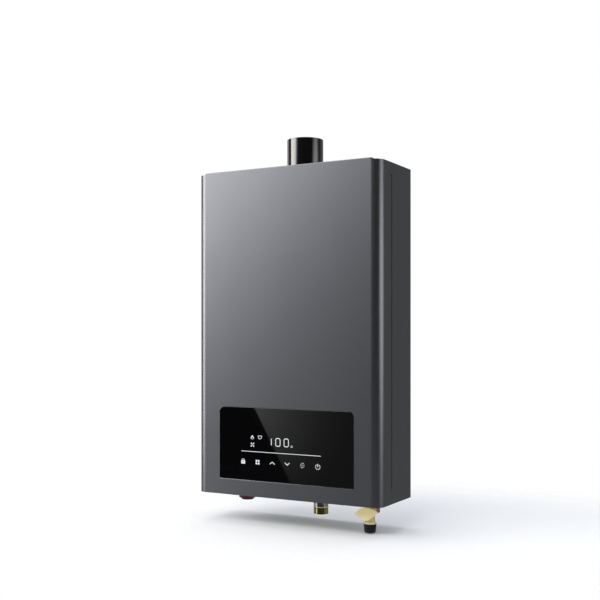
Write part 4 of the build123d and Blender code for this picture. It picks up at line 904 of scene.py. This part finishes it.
class HEATER_OT_light_display(bpy.types.Operator):
    """Light the digits, the dividing line and the touch icons"""
    bl_idname = "heater.light_display"
    bl_label = "Light the display"

    def execute(self, context):
        panel = context.scene.heater_panel
        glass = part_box("control_glass")[0]
        front, thickness = glass.y + 0.01 * MM, 0.12 * MM
        touch_icons, cycle_icon = self.touch_row(panel)
        lit = self.reading(panel) + self.status_icons() + touch_icons
        for name, outlines, film in (("display_marks", lit, lit_diffuser),
                                     ("display_marks_dim", cycle_icon, dim_diffuser)):
            piece(name, inlay(outlines, glass.z, front, thickness), film(), "cover")
        return {"FINISHED"}

    def reading(self, panel):
        """Three digits, the ring of the unit sign and the dividing line, in millimetres."""
        tall, wide, stroke, rise = (size / MM for size in (panel.digit_height, panel.digit_width,
                                                           panel.digit_stroke, panel.digit_rise))
        one, one_height, noughts, outer_corner, inner_corner = -23.4, 0.78 * tall, (-11.2, 4.2), 3.4, 2.3
        marks = [bar(one, rise, stroke, one_height)]
        for nought in noughts:
            marks += [rounded(nought, rise, wide, tall, outer_corner),
                      rounded(nought, rise, wide - 2 * stroke, tall - 2 * stroke, inner_corner)]
        unit, unit_drop, unit_radii = 14.0, 5.6, (1.7, 1.1)
        marks += [ring(unit, rise - unit_drop, radius) for radius in unit_radii]
        line_middle = -7.1
        marks.append(bar(line_middle, panel.line_rise / MM, panel.line_length / MM, panel.line_stroke / MM))
        return marks

    def status_icons(self):
        """A flame and a tub left of the digits, with a fan under the flame, in millimetres."""
        flame, tub, upper_row = -59.3, -44.9, 70.9
        outer_flame, inner_flame, inner_drop = (4.2, 3.5), (2.5, 2.0), 1.0
        marks = [drop(flame, upper_row, *outer_flame, turn=0.0),
                 drop(flame, upper_row - inner_drop, *inner_flame, turn=0.0)]
        bowl_rise, bowl_turn = 0.9, radians(180.0)
        for half, rim in ((3.7, 2.8), (2.9, 2.0)):
            marks.append([(tub + half, upper_row + rim), (tub - half, upper_row + rim)]
                         + arc(tub, upper_row + bowl_rise, half, bowl_turn, bowl_turn, 16))
        fan, lower_row, reach, blade, hub = -59.1, 58.4, 2.6, (1.5, 1.7), 0.8
        for turn in (radians(45.0 + 90.0 * n) for n in range(4)):
            marks.append(drop(fan + reach * sin(turn), lower_row - reach * cos(turn), *blade, turn))
        marks.append(ring(fan, lower_row, hub))
        return marks

    def touch_row(self, panel):
        """The lit touch icons, and apart from them the dim cycle icon, in millimetres."""
        rise, stroke = panel.icon_rise / MM, panel.icon_stroke / MM
        lock, grid, higher, lower, cycle, power = ((panel.icon_start + n * panel.icon_pitch) / MM
                                                   for n in range(6))
        lock_body, keyhole, shackle = (7.4, 5.4, 0.7), (2.6, 1.4, 0.4), (2.8, 2.0)
        lit = [rounded(lock, rise - 1.3, *lock_body), rounded(lock, rise - 1.2, *keyhole),
               band(lock, rise + 1.5, *shackle, begin=0.0, sweep=radians(180.0))]
        tile, off_middle = (3.0, 3.0, 0.6), 2.1
        lit += [rounded(grid + across * off_middle, rise + up * off_middle, *tile)
                for across in (-1, 1) for up in (-1, 1)]
        lit += [chevron(higher, rise + 0.9, 9.2, 3.6, stroke), chevron(lower, rise - 0.2, 8.6, -3.6, stroke)]
        power_ring, power_post = (4.3, 3.6), (1.1, 5.0, 0.4)
        lit += [band(power, rise - 0.4, *power_ring, begin=radians(118.0), sweep=radians(304.0)),
                rounded(power, rise + 1.8, *power_post)]
        cycle_ring, cycle_dash, arrow = (3.6, 2.8), (3.4, 0.9, 0.3), ((0.4, 4.6), (0.4, 1.9), (2.9, 3.4))
        dim = [band(cycle, rise, *cycle_ring, radians(begin), radians(135.5)) for begin in (84.5, 264.5)]
        dim.append(rounded(cycle, rise, *cycle_dash))
        dim += [[(cycle + way * across, rise + way * up) for across, up in arrow] for way in (1, -1)]
        return lit, dim


class HEATER_OT_finish_fittings(bpy.types.Operator):
    """Finish the gas, hot and cold connections and the cable gland"""
    bl_idname = "heater.finish_fittings"
    bl_label = "Finish the fittings"

    def execute(self, context):
        for name, node, material, slot, ease in (
                ("gas_disc", "gas_collar", maroon_polypropylene, "red_plastic", 0.8),
                ("gas_tail", "gas_inlet", phosphated_steel, "dark_steel", 0.5),
                ("hot_sleeve", "hot_outlet_sleeve", chrome_plate, "chrome", 0.7),
                ("hot_tail", "hot_outlet_tail", turned_brass, "brass", 0.5),
                ("cold_socket", "cold_inlet", turned_brass, "brass", 0.6),
                ("panel_nuts", "lock_nuts", turned_brass, "brass", 0.5),
                ("lead_gland", "cable_gland", moulded_nylon, "black_plastic", 0.4)):
            piece(name, eased(node, ease * MM), material(), "heater", (node,))
        return {"FINISHED"}


class HEATER_OT_finish_drain(bpy.types.Operator):
    """Finish the drain cock, its wing and its push-on cap"""
    bl_idname = "heater.finish_drain"
    bl_label = "Finish the drain"

    def execute(self, context):
        dress(forged_brass(), "drain_body")
        dress(chrome_plate(), "drain_ball")
        piece("drain_wing", eased("drain_handle", width=0.7 * MM), pressed_brass(), "drain_valve",
              ("drain_handle",))
        low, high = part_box("drain_ball")
        pivot = (low + high) / 2
        pivot.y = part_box("drain_handle")[0].y
        stud = [(0.0, -0.2), (3.6, -0.2), (3.6, 0.05), (2.6, 0.22), (0.0, 0.3)]
        piece("wing_stud", turned(stud, [pivot], FORWARD), pressed_brass(), "drain_valve")
        low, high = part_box("drain_cap")
        cap_top = (low + high) / 2
        cap_top.z = high.z
        rim, spout = (high.x - low.x) / 2 / MM, 5.7
        flange = [(spout, 0.1), (rim - 0.6, 0.1), (rim, 0.7), (rim, 1.5), (rim - 0.9, 2.3), (spout, 3.4),
                  (spout, 0.1)]
        piece("spout_flange", turned(flange, [cap_top], UPWARD), pressed_brass(), "heater")
        piece("spout_cap", eased("drain_cap", width=0.6 * MM), moulded_nylon(), "drain_plug",
              ("drain_cap",))
        return {"FINISHED"}


class HEATER_OT_finish_engine(bpy.types.Operator):
    """Finish the exchanger, burner and hood, with swages, sight window and flange screws"""
    bl_idname = "heater.finish_engine"
    bl_label = "Finish the heat engine"

    def execute(self, context):
        dress(brazed_copper(), "exchanger_shell", "exchanger_fins", "exchanger_tubes", "chamber_coil",
              "cold_pipe", "hot_pipe", "gas_pipe")
        dress(rolled_stainless(), "burner_box", "burner_blades", "electrode_wires")
        dress(galvanised_sheet(), "fume_hood", "engine_brackets")
        dress(glazed_alumina(), "electrode_ceramics")
        dress(moulded_phenolic(), "thermal_cutout")
        low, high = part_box("exchanger_shell")
        flange = 6.0 * MM
        wall = low.y + flange
        self.press_swages(wall)
        self.set_sight_window(wall)
        hood_sheet, pitch = 1.0 * MM, 44.0 * MM
        points = [(n * pitch, low.y + flange / 2, high.z + hood_sheet) for n in range(-2, 3)]
        screws("hood_flange_screws", points, "heater", FACING_UP, size=0.7, tree=hex_head_tree)
        return {"FINISHED"}

    def press_swages(self, wall):
        """Two long swages in the front wall of the copper shell."""
        width, proud, sunk, ease = 6.0 * MM, 1.2 * MM, 0.4 * MM, 0.8 * MM
        long_swage, short_swage = (0.0, 40.0, 150.0), (-30.0, 78.0, 100.0)
        outlines = [rounded(middle * MM, rise * MM, reach * MM, width, width / 2)
                    for middle, rise, reach in (long_swage, short_swage)]
        piece("shell_swages", slabs(outlines, wall - proud, wall + sunk, ease), brazed_copper(), "heater")

    def set_sight_window(self, wall):
        """A brass bezel with a mica disc, through which the flame can be watched."""
        window = (66.0 * MM, wall, -48.0 * MM)
        hole, rim = 5.5, 9.0
        bezel = [(hole, 0.3), (rim, 0.3), (rim, 1.8), (rim - 0.8, 2.6), (hole + 0.7, 2.6), (hole, 1.9),
                 (hole, 0.3)]
        piece("sight_bezel", turned(bezel, [window], FORWARD), turned_brass(), "heater")
        disc = [(0.0, 0.2), (hole + 0.1, 0.2), (hole + 0.1, 0.9), (hole - 0.9, 1.1), (0.0, 1.3)]
        piece("sight_mica", turned(disc, [window], FORWARD), mica_window(), "heater")


class HEATER_OT_finish_fan(bpy.types.Operator):
    """Finish the fan, its motor and the motor's cooling ribs"""
    bl_idname = "heater.finish_fan"
    bl_label = "Finish the fan"

    def execute(self, context):
        dress(galvanised_sheet(), "fan_volute", "motor_plate")
        dress(rolled_stainless(), "fan_impeller", "motor_shaft")
        dress(motor_enamel(), "fan_motor")
        dress(turned_brass(), "fan_bearing")
        boss = 5.0 * MM
        self.screw_circle("motor_plate_screws", "motor_plate", count=4, begin=tau / 8, inset=6.0 * MM,
                          back=0.0, size=0.85)
        self.screw_circle("motor_end_screws", "fan_motor", count=3, begin=tau / 12, inset=9.0 * MM,
                          back=boss, size=0.7)
        low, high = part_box("fan_motor")
        middle, can = (low + high) / 2, (high.x - low.x) / 2 / MM
        root, top = can - 0.5, can + 1.0
        rib = [(root, 0.0), (top, 0.4), (top, 1.1), (root, 1.5), (root, 0.0)]
        centres = [(middle.x, low.y + boss + back * MM, middle.z) for back in (10.0, 14.0, 18.0, 22.0)]
        piece("motor_ribs", turned(rib, centres, BACKWARD), motor_enamel(), "heater")
        return {"FINISHED"}

    def screw_circle(self, name, node, count, begin, inset, back, size):
        """A circle of screws inside the rim of a round node, so far behind its foremost point."""
        low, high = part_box(node)
        middle, radius = (low + high) / 2, (high.x - low.x) / 2 - inset
        places = arc(middle.x, middle.z, radius, begin, tau, count)[:-1]
        screws(name, [(x, low.y + back, z) for x, z in places], "heater", FACING_FRONT, size)


class HEATER_OT_finish_gas_train(bpy.types.Operator):
    """Finish the gas valve, its coils and the manifold"""
    bl_idname = "heater.finish_gas_train"
    bl_label = "Finish the gas train"

    def execute(self, context):
        dress(die_cast_aluminium(), "gas_manifold")
        dress(turned_brass(), "gas_nozzles", "union_nuts")
        dress(rolled_stainless(), "gas_plungers")
        dress(moulded_nylon(), "gas_solenoids")
        piece("valve_casting", eased("gas_valve_body", width=0.9 * MM), die_cast_aluminium(), "heater",
              ("gas_valve_body",))
        low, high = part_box("gas_valve_body")
        inset = 6.0 * MM
        points = [(x, low.y, z) for x in (low.x + inset, high.x - inset)
                  for z in (low.z + inset, (low.z + high.z) / 2, high.z - inset)]
        screws("valve_screws", points, "heater", FACING_FRONT, size=0.9)
        return {"FINISHED"}


class HEATER_OT_finish_controls(bpy.types.Operator):
    """Build the mains board and finish the control box, igniter and flow sensor"""
    bl_idname = "heater.finish_controls"
    bl_label = "Finish the controls"

    def execute(self, context):
        dress(moulded_nylon(), "control_box", "igniter_module")
        dress(galvanised_sheet(), "control_bracket")
        dress(turned_brass(), "flow_sensor_body")
        dress(moulded_acetal(), "flow_rotor")
        low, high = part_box("control_board")
        board = 1.6 * MM
        face = high.y - board
        piece("mains_board", blocks([((low.x, face, low.z), high)], ease=0.2 * MM), solder_masked_board(),
              "heater", ("control_board",))
        self.mount_power_parts(low, (high.x - low.x) / 4, face)
        self.mount_small_parts(low, high, face)
        self.fit_igniter_and_pickup()
        return {"FINISHED"}

    def mount_power_parts(self, low, pitch, face):
        """Three relays and a transformer along the foot of the board."""
        half, foot, head = 13.3 * MM, low.z + 14.0 * MM, low.z + 40.0 * MM
        middles = [low.x + (n + 0.5) * pitch for n in range(4)]
        relays = [((middle - half, low.y, foot), (middle + half, face, head)) for middle in middles[:3]]
        piece("relays", blocks(relays, ease=0.8 * MM), moulded_nylon(), "heater")
        shape = bmesh.new()
        middle, shoulder, coil, recess, stand = middles[3], 4.0 * MM, 9.0 * MM, 2.0 * MM, 1.0 * MM
        block(shape, (middle - half, low.y, foot + shoulder), (middle + half, face, head - shoulder),
              ease=0.5 * MM)
        block(shape, (middle - coil, low.y + recess, foot), (middle + coil, face - stand, head),
              ease=1.5 * MM)
        piece("transformer", baked(shape), moulded_phenolic(), "heater")

    def mount_small_parts(self, low, high, face):
        """Capacitors, a heat sink and a row of connectors on the upper board."""
        shape = bmesh.new()
        for across, up, can in ((15.0, 62.0, 6.0), (31.0, 62.0, 6.0), (47.0, 60.0, 4.0)):
            outline = [(0.0, 0.0), (can, 0.0), (can, 1.5), (0.93 * can, 2.2), (can, 3.0), (can, 15.0),
                       (can - 0.8, 16.0), (can - 1.4, 15.6), (0.0, 15.6)]
            turn_outline(shape, outline, (low.x + across * MM, face, low.z + up * MM), FORWARD)
        piece("capacitors", baked(shape), sleeved_capacitor(), "heater")
        width, deep, foot, head = 22.0 * MM, 9.0 * MM, high.z - 14.0 * MM, high.z - 5.0 * MM
        lefts = [low.x + (7.0 + 29.0 * n) * MM for n in range(5)]
        plugs = [((left, face - deep, foot), (left + width, face, head)) for left in lefts]
        piece("connectors", blocks(plugs, ease=0.6 * MM), moulded_acetal(), "heater")
        fin = (1.2 * MM, 14.0 * MM, 22.0 * MM)
        first = (low.x + 79.0 * MM, face - fin[1] / 2, low.z + 64.0 * MM)
        grown("heat_sink_fins", fin_row_tree(), [first], ground_aluminium(), "heater", "stainless",
              Count=11, Step=(4.0 * MM, 0.0, 0.0), Size=fin, Turn=FACING_UP)

    def fit_igniter_and_pickup(self):
        """Two push-on tabs on the igniter and the pickup on the flow sensor."""
        low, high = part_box("igniter_module")
        left, right, tip, root, half = low.x + 8.0 * MM, low.x + 8.8 * MM, 8.0 * MM, 0.5 * MM, 3.0 * MM
        tabs = [((left, low.y - tip, z - half), (right, low.y + root, z + half))
                for z in (low.z + 12.0 * MM, high.z - 12.0 * MM)]
        piece("igniter_tabs", blocks(tabs, ease=0.1 * MM), rolled_stainless(), "heater")
        low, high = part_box("flow_sensor_body")
        middle, half, proud, root = (low.x + high.x) / 2, 8.0 * MM, 6.0 * MM, 2.0 * MM
        foot, tall = low.z + 24.0 * MM, 20.0 * MM
        pickup = ((middle - half, low.y - proud, foot), (middle + half, low.y + root, foot + tall))
        piece("flow_pickup", blocks([pickup], ease=1.2 * MM), moulded_nylon(), "heater")


def hang(made, seen_by):
    """Put a studio card or curtain in the scene, seen only by these kinds of ray."""
    scene().collection.objects.link(made)
    for kind in ("camera", "diffuse", "glossy", "transmission", "shadow"):
        setattr(made, "visible_" + kind, kind in seen_by)


def card(name, half, material, place, facing, seen_by=("diffuse", "glossy")):
    """A flat studio card of a half width and half height, turned to face a point."""
    across, up = half
    mesh = bpy.data.meshes.new(name)
    mesh.from_pydata([(-across, -up, 0.0), (across, -up, 0.0), (across, up, 0.0), (-across, up, 0.0)], [],
                     [(0, 1, 2, 3)])
    mesh.materials.append(material)
    made = bpy.data.objects.new(name, mesh)
    made.location = place
    made.rotation_euler = (Vector(facing) - Vector(place)).to_track_quat("Z", "Y").to_euler()
    hang(made, seen_by)


def shining(name):
    """Begin a studio light: the material, its tree and its emission."""
    made = bpy.data.materials.new(name)
    made.use_nodes = True
    tree = made.node_tree
    tree.nodes.remove(tree.nodes["Principled BSDF"])
    light = add(tree, "ShaderNodeEmission")
    fill(tree.nodes["Material Output"], {"Surface": light.outputs["Emission"]})
    return made, tree, light


def glow(name, strength, reach, floor=0.0, kind="SPHERICAL", soft=0.75):
    """Light that is strongest in the middle of a card and fades towards its edge."""
    made, tree, light = shining(name)
    place = add(tree, "ShaderNodeTexCoord").outputs["Object"]
    even = add(tree, "ShaderNodeMapping", {"Vector": place, "Scale": tuple(1.0 / r for r in reach)})
    fade = add(tree, "ShaderNodeTexGradient", {"Vector": even.outputs["Vector"]}, gradient_type=kind)
    amount = add(tree, "ShaderNodeMapRange", {"Value": fade.outputs["Fac"], "From Max": soft, "To Min": floor,
                                              "To Max": strength},
                 interpolation_type="SMOOTHSTEP" if kind == "SPHERICAL" else "LINEAR")
    fill(light, {"Strength": amount.outputs["Result"]})
    return made


def ramp(name, strength, lean, dark, bright):
    """Light that rises along a leaning line across a card, from a cool dark place to a warm bright one."""
    made, tree, light = shining(name)
    place = add(tree, "ShaderNodeTexCoord").outputs["Object"]
    along = add(tree, "ShaderNodeMapping", {"Vector": place, "Rotation": (0.0, 0.0, -lean)}).outputs["Vector"]
    across = add(tree, "ShaderNodeSeparateXYZ", {"Vector": along}).outputs["X"]
    share = add(tree, "ShaderNodeMapRange", {"Value": across, "From Min": dark,
                                             "From Max": bright}).outputs["Result"]
    amount = add(tree, "ShaderNodeMath", {0: share, 1: strength}, operation="MULTIPLY").outputs[0]
    tint = add(tree, "ShaderNodeMix", {"Factor": share, COLOUR_A: linear("#AEC0E4"),
                                       COLOUR_B: linear("#FFFAF3")}, data_type="RGBA").outputs[COLOUR_OUT]
    fill(light, {"Color": tint, "Strength": amount})
    return made


class HEATER_OT_set_studio(bpy.types.Operator):
    """Lay the pale floor, hang the soft lights and place the camera"""
    bl_idname = "heater.set_studio"
    bl_label = "Set the studio"

    def execute(self, context):
        studio = context.scene.heater_studio
        self.lay_floor(studio)
        self.light_room(studio)
        self.hang_large_cards(studio)
        self.hang_curtains()
        self.hang_small_cards(studio)
        lens = bpy.data.cameras.new("studio_camera")
        lens.sensor_width = 36.0
        lens.lens = studio.camera_lens
        lens.shift_x, lens.shift_y = studio.camera_shift
        camera = bpy.data.objects.new("studio_camera", lens)
        camera.location = studio.camera_place
        camera.rotation_euler = studio.camera_turn
        context.scene.collection.objects.link(camera)
        context.scene.camera = camera
        context.scene.view_settings.view_transform = "Standard"
        return {"FINISHED"}

    def lay_floor(self, studio):
        """A pale paper floor that fades into the white room in an oval round the object."""
        shape = bmesh.new()
        bmesh.ops.create_circle(shape, cap_ends=True, segments=96, radius=max(studio.floor_reach))
        floor = bpy.data.objects.new("studio_floor", baked(shape))
        across, back, clearance = 0.2, 0.06, 1.0 * MM
        floor.location = (across, back, CAD_BOX[0].z - clearance)
        paper, tree, shader, place = start("pale_paper")
        cloud = add(tree, "ShaderNodeTexNoise", {"Vector": place, "Scale": per(8.0), "Detail": 2.0})
        surfaced(tree, shader, cloud.outputs["Fac"], {"Roughness": 0.9, "Specular IOR Level": 0.1},
                 tones=(tuple(studio.floor), linear("#F4F5F6")))
        long, deep = studio.floor_reach
        even = add(tree, "ShaderNodeMapping", {"Vector": place, "Scale": (1.0 / long, 1.0 / deep, 1.0)})
        fade = add(tree, "ShaderNodeTexGradient", {"Vector": even.outputs["Vector"]},
                   gradient_type="SPHERICAL")
        shown = add(tree, "ShaderNodeMapRange", {"Value": fade.outputs["Fac"], "From Max": 0.7},
                    interpolation_type="SMOOTHSTEP").outputs["Result"]
        clear = add(tree, "ShaderNodeBsdfTransparent").outputs["BSDF"]
        below = add(tree, "ShaderNodeNewGeometry").outputs["Backfacing"]
        top = add(tree, "ShaderNodeMixShader", {0: shown, 1: clear, 2: shader.outputs["BSDF"]})
        both = add(tree, "ShaderNodeMixShader", {0: below, 1: top.outputs["Shader"], 2: clear})
        fill(tree.nodes["Material Output"], {"Surface": both.outputs["Shader"]})
        floor.data.materials.append(paper)
        floor.visible_glossy = False
        scene().collection.objects.link(floor)

    def light_room(self, studio):
        """A white room for the camera, mirrors and glass, at a lower level as fill light, and two lamps."""
        room = bpy.data.worlds.new("studio_room")
        room.use_nodes = True
        tree = room.node_tree
        path = add(tree, "ShaderNodeLightPath").outputs
        seen = path["Is Camera Ray"]
        for kind in ("Is Glossy Ray", "Is Transmission Ray"):
            seen = add(tree, "ShaderNodeMath", {0: seen, 1: path[kind]}, operation="MAXIMUM").outputs[0]
        amount = add(tree, "ShaderNodeMapRange", {"Value": seen, "To Min": studio.ambient}).outputs["Result"]
        tint = add(tree, "ShaderNodeMix", {"Factor": seen, COLOUR_A: linear("#EEF4FF"),
                                           COLOUR_B: linear("#FFFFFF")}, data_type="RGBA").outputs[COLOUR_OUT]
        fill(tree.nodes["Background"], {"Color": tint, "Strength": amount})
        scene().world = room
        for name, power, place, size in (("front_lamp", studio.lamp, (0.0, -1.92, 1.6), (1.8, 0.7)),
                                         ("overhead_lamp", studio.overhead, (-0.2, 0.1, 2.0), (1.2, 1.0))):
            light = bpy.data.lights.new(name, "AREA")
            light.shape = "RECTANGLE"
            light.size, light.size_y = size
            light.energy = power
            light.color = linear("#FFFAF2")[:3]
            lamp = bpy.data.objects.new(name, light)
            lamp.location = place
            lamp.rotation_euler = (-lamp.location).to_track_quat("-Z", "Y").to_euler()
            lamp.visible_camera = False
            lamp.visible_glossy = False
            scene().collection.objects.link(lamp)

    def hang_large_cards(self, studio):
        """Soft cards at the left and right, and one at the left that shows only in reflections."""
        key_half, shine_half, rim_half = (1.5, 1.3), (1.15, 1.6), (1.4, 0.85)
        card("key_card", key_half, glow("key_glow", studio.key, (*key_half, 1.0)), self.left_of_front(24.0),
             MIDDLE, seen_by=("diffuse",))
        card("shine_card", shine_half, ramp("shine_glow", studio.shine, lean=radians(32.0), dark=-0.98,
                                             bright=-0.32),
             self.left_of_front(20.0), MIDDLE, seen_by=("glossy",))
        card("rim_card", rim_half, glow("rim_glow", studio.rim, (*rim_half, 1.0), soft=0.6),
             (2.17, 0.24, 0.2), MIDDLE)

    def left_of_front(self, rise):
        """A place well to the left of the front, so many degrees up."""
        far, side, up = 2.6, radians(47.0), radians(rise)
        return (-far * sin(side) * cos(up), -far * cos(side) * cos(up) + MIDDLE[1], far * sin(up))

    def hang_curtains(self):
        """Dark, grey and pale curtains round the room, which show only in reflections."""
        steps, far, foot, head = 72, 3.3, -1.6, 3.0
        grey_from, pale_from, pale_to = 78.0, 180.0, 265.0
        wall = [(far * sin(tau * n / steps), -far * cos(tau * n / steps)) for n in range(steps)]
        mesh = bpy.data.meshes.new("curtains")
        mesh.from_pydata([(x, y, z) for z in (foot, head) for x, y in wall], [],
                         [(n, (n + 1) % steps, steps + (n + 1) % steps, steps + n) for n in range(steps)])
        black, grey, pale = 0, 1, 2
        for name, amount in (("black_curtain", 0.011), ("grey_curtain", 0.165), ("pale_curtain", 0.52)):
            made, _, light = shining(name)
            fill(light, {"Strength": amount})
            mesh.materials.append(made)
        for n, face in enumerate(mesh.polygons):
            round_from_front = 360.0 * n / steps
            if grey_from < round_from_front < pale_from:
                face.material_index = grey
            elif pale_from <= round_from_front < pale_to:
                face.material_index = pale
            else:
                face.material_index = black
        hang(bpy.data.objects.new("curtains", mesh), ("glossy",))

    def hang_small_cards(self, studio):
        """A low card for the plated fittings, a fill card in front and a slanted one for the glass."""
        low_half, fill_half, fittings = (0.34, 0.15), (0.8, 0.5), (0.06, -0.06, -0.28)
        card("low_card", low_half, glow("low_glow", studio.fittings_glint, (*low_half, 1.0)),
             (-1.62, -1.85, -0.76), fittings, seen_by=("glossy",))
        card("fill_card", fill_half, glow("fill_glow", studio.front_fill, (*fill_half, 1.0)),
             (0.2, -2.4, -0.05), MIDDLE, seen_by=("diffuse",))
        slant = [(-0.018, 0.0, 0.03), (0.195, 0.0, -0.34), (0.55, 0.0, -0.34), (0.55, 0.0, 0.03)]
        mesh = bpy.data.meshes.new("slanted_card")
        mesh.from_pydata(slant, [], [(0, 1, 2, 3)])
        mesh.materials.append(glow("slanted_glow", 1.0, (0.5, 0.5, 0.5), floor=0.1, kind="QUADRATIC_SPHERE",
                                   soft=1.0))
        slanted = bpy.data.objects.new("slanted_card", mesh)
        slanted.location = (-1.347, -2.2, -0.30)
        hang(slanted, ("glossy",))


OPERATORS = (HEATER_OT_paint_case, HEATER_OT_press_back, HEATER_OT_enamel_flue, HEATER_OT_glaze_panel,
             HEATER_OT_light_display, HEATER_OT_finish_fittings, HEATER_OT_finish_drain,
             HEATER_OT_finish_engine, HEATER_OT_finish_fan, HEATER_OT_finish_gas_train,
             HEATER_OT_finish_controls, HEATER_OT_set_studio)


class HEATER_PT_sidebar(bpy.types.Panel):
    """Lists the steps and their settings"""
    bl_idname = "HEATER_PT_sidebar"
    bl_label = "Water heater"
    bl_space_type = "VIEW_3D"
    bl_region_type = "UI"
    bl_category = "Heater"

    def draw(self, context):
        for operator in OPERATORS:
            self.layout.operator(operator.bl_idname)
        for name, group in GROUPS.items():
            box = self.layout.box()
            for setting in group.__annotations__:
                box.prop(getattr(context.scene, name), setting)


CLASSES = (*GROUPS.values(), *OPERATORS, HEATER_PT_sidebar)


def register():
    for each in CLASSES:
        bpy.utils.register_class(each)
    for name, group in GROUPS.items():
        setattr(bpy.types.Scene, name, PointerProperty(type=group))


def unregister():
    for name in GROUPS:
        delattr(bpy.types.Scene, name)
    for each in reversed(CLASSES):
        bpy.utils.unregister_class(each)


def main():
    register()
    for operator in OPERATORS:
        family, step = operator.bl_idname.split(".")
        getattr(getattr(bpy.ops, family), step)()


if __name__ == "__main__":
    main()
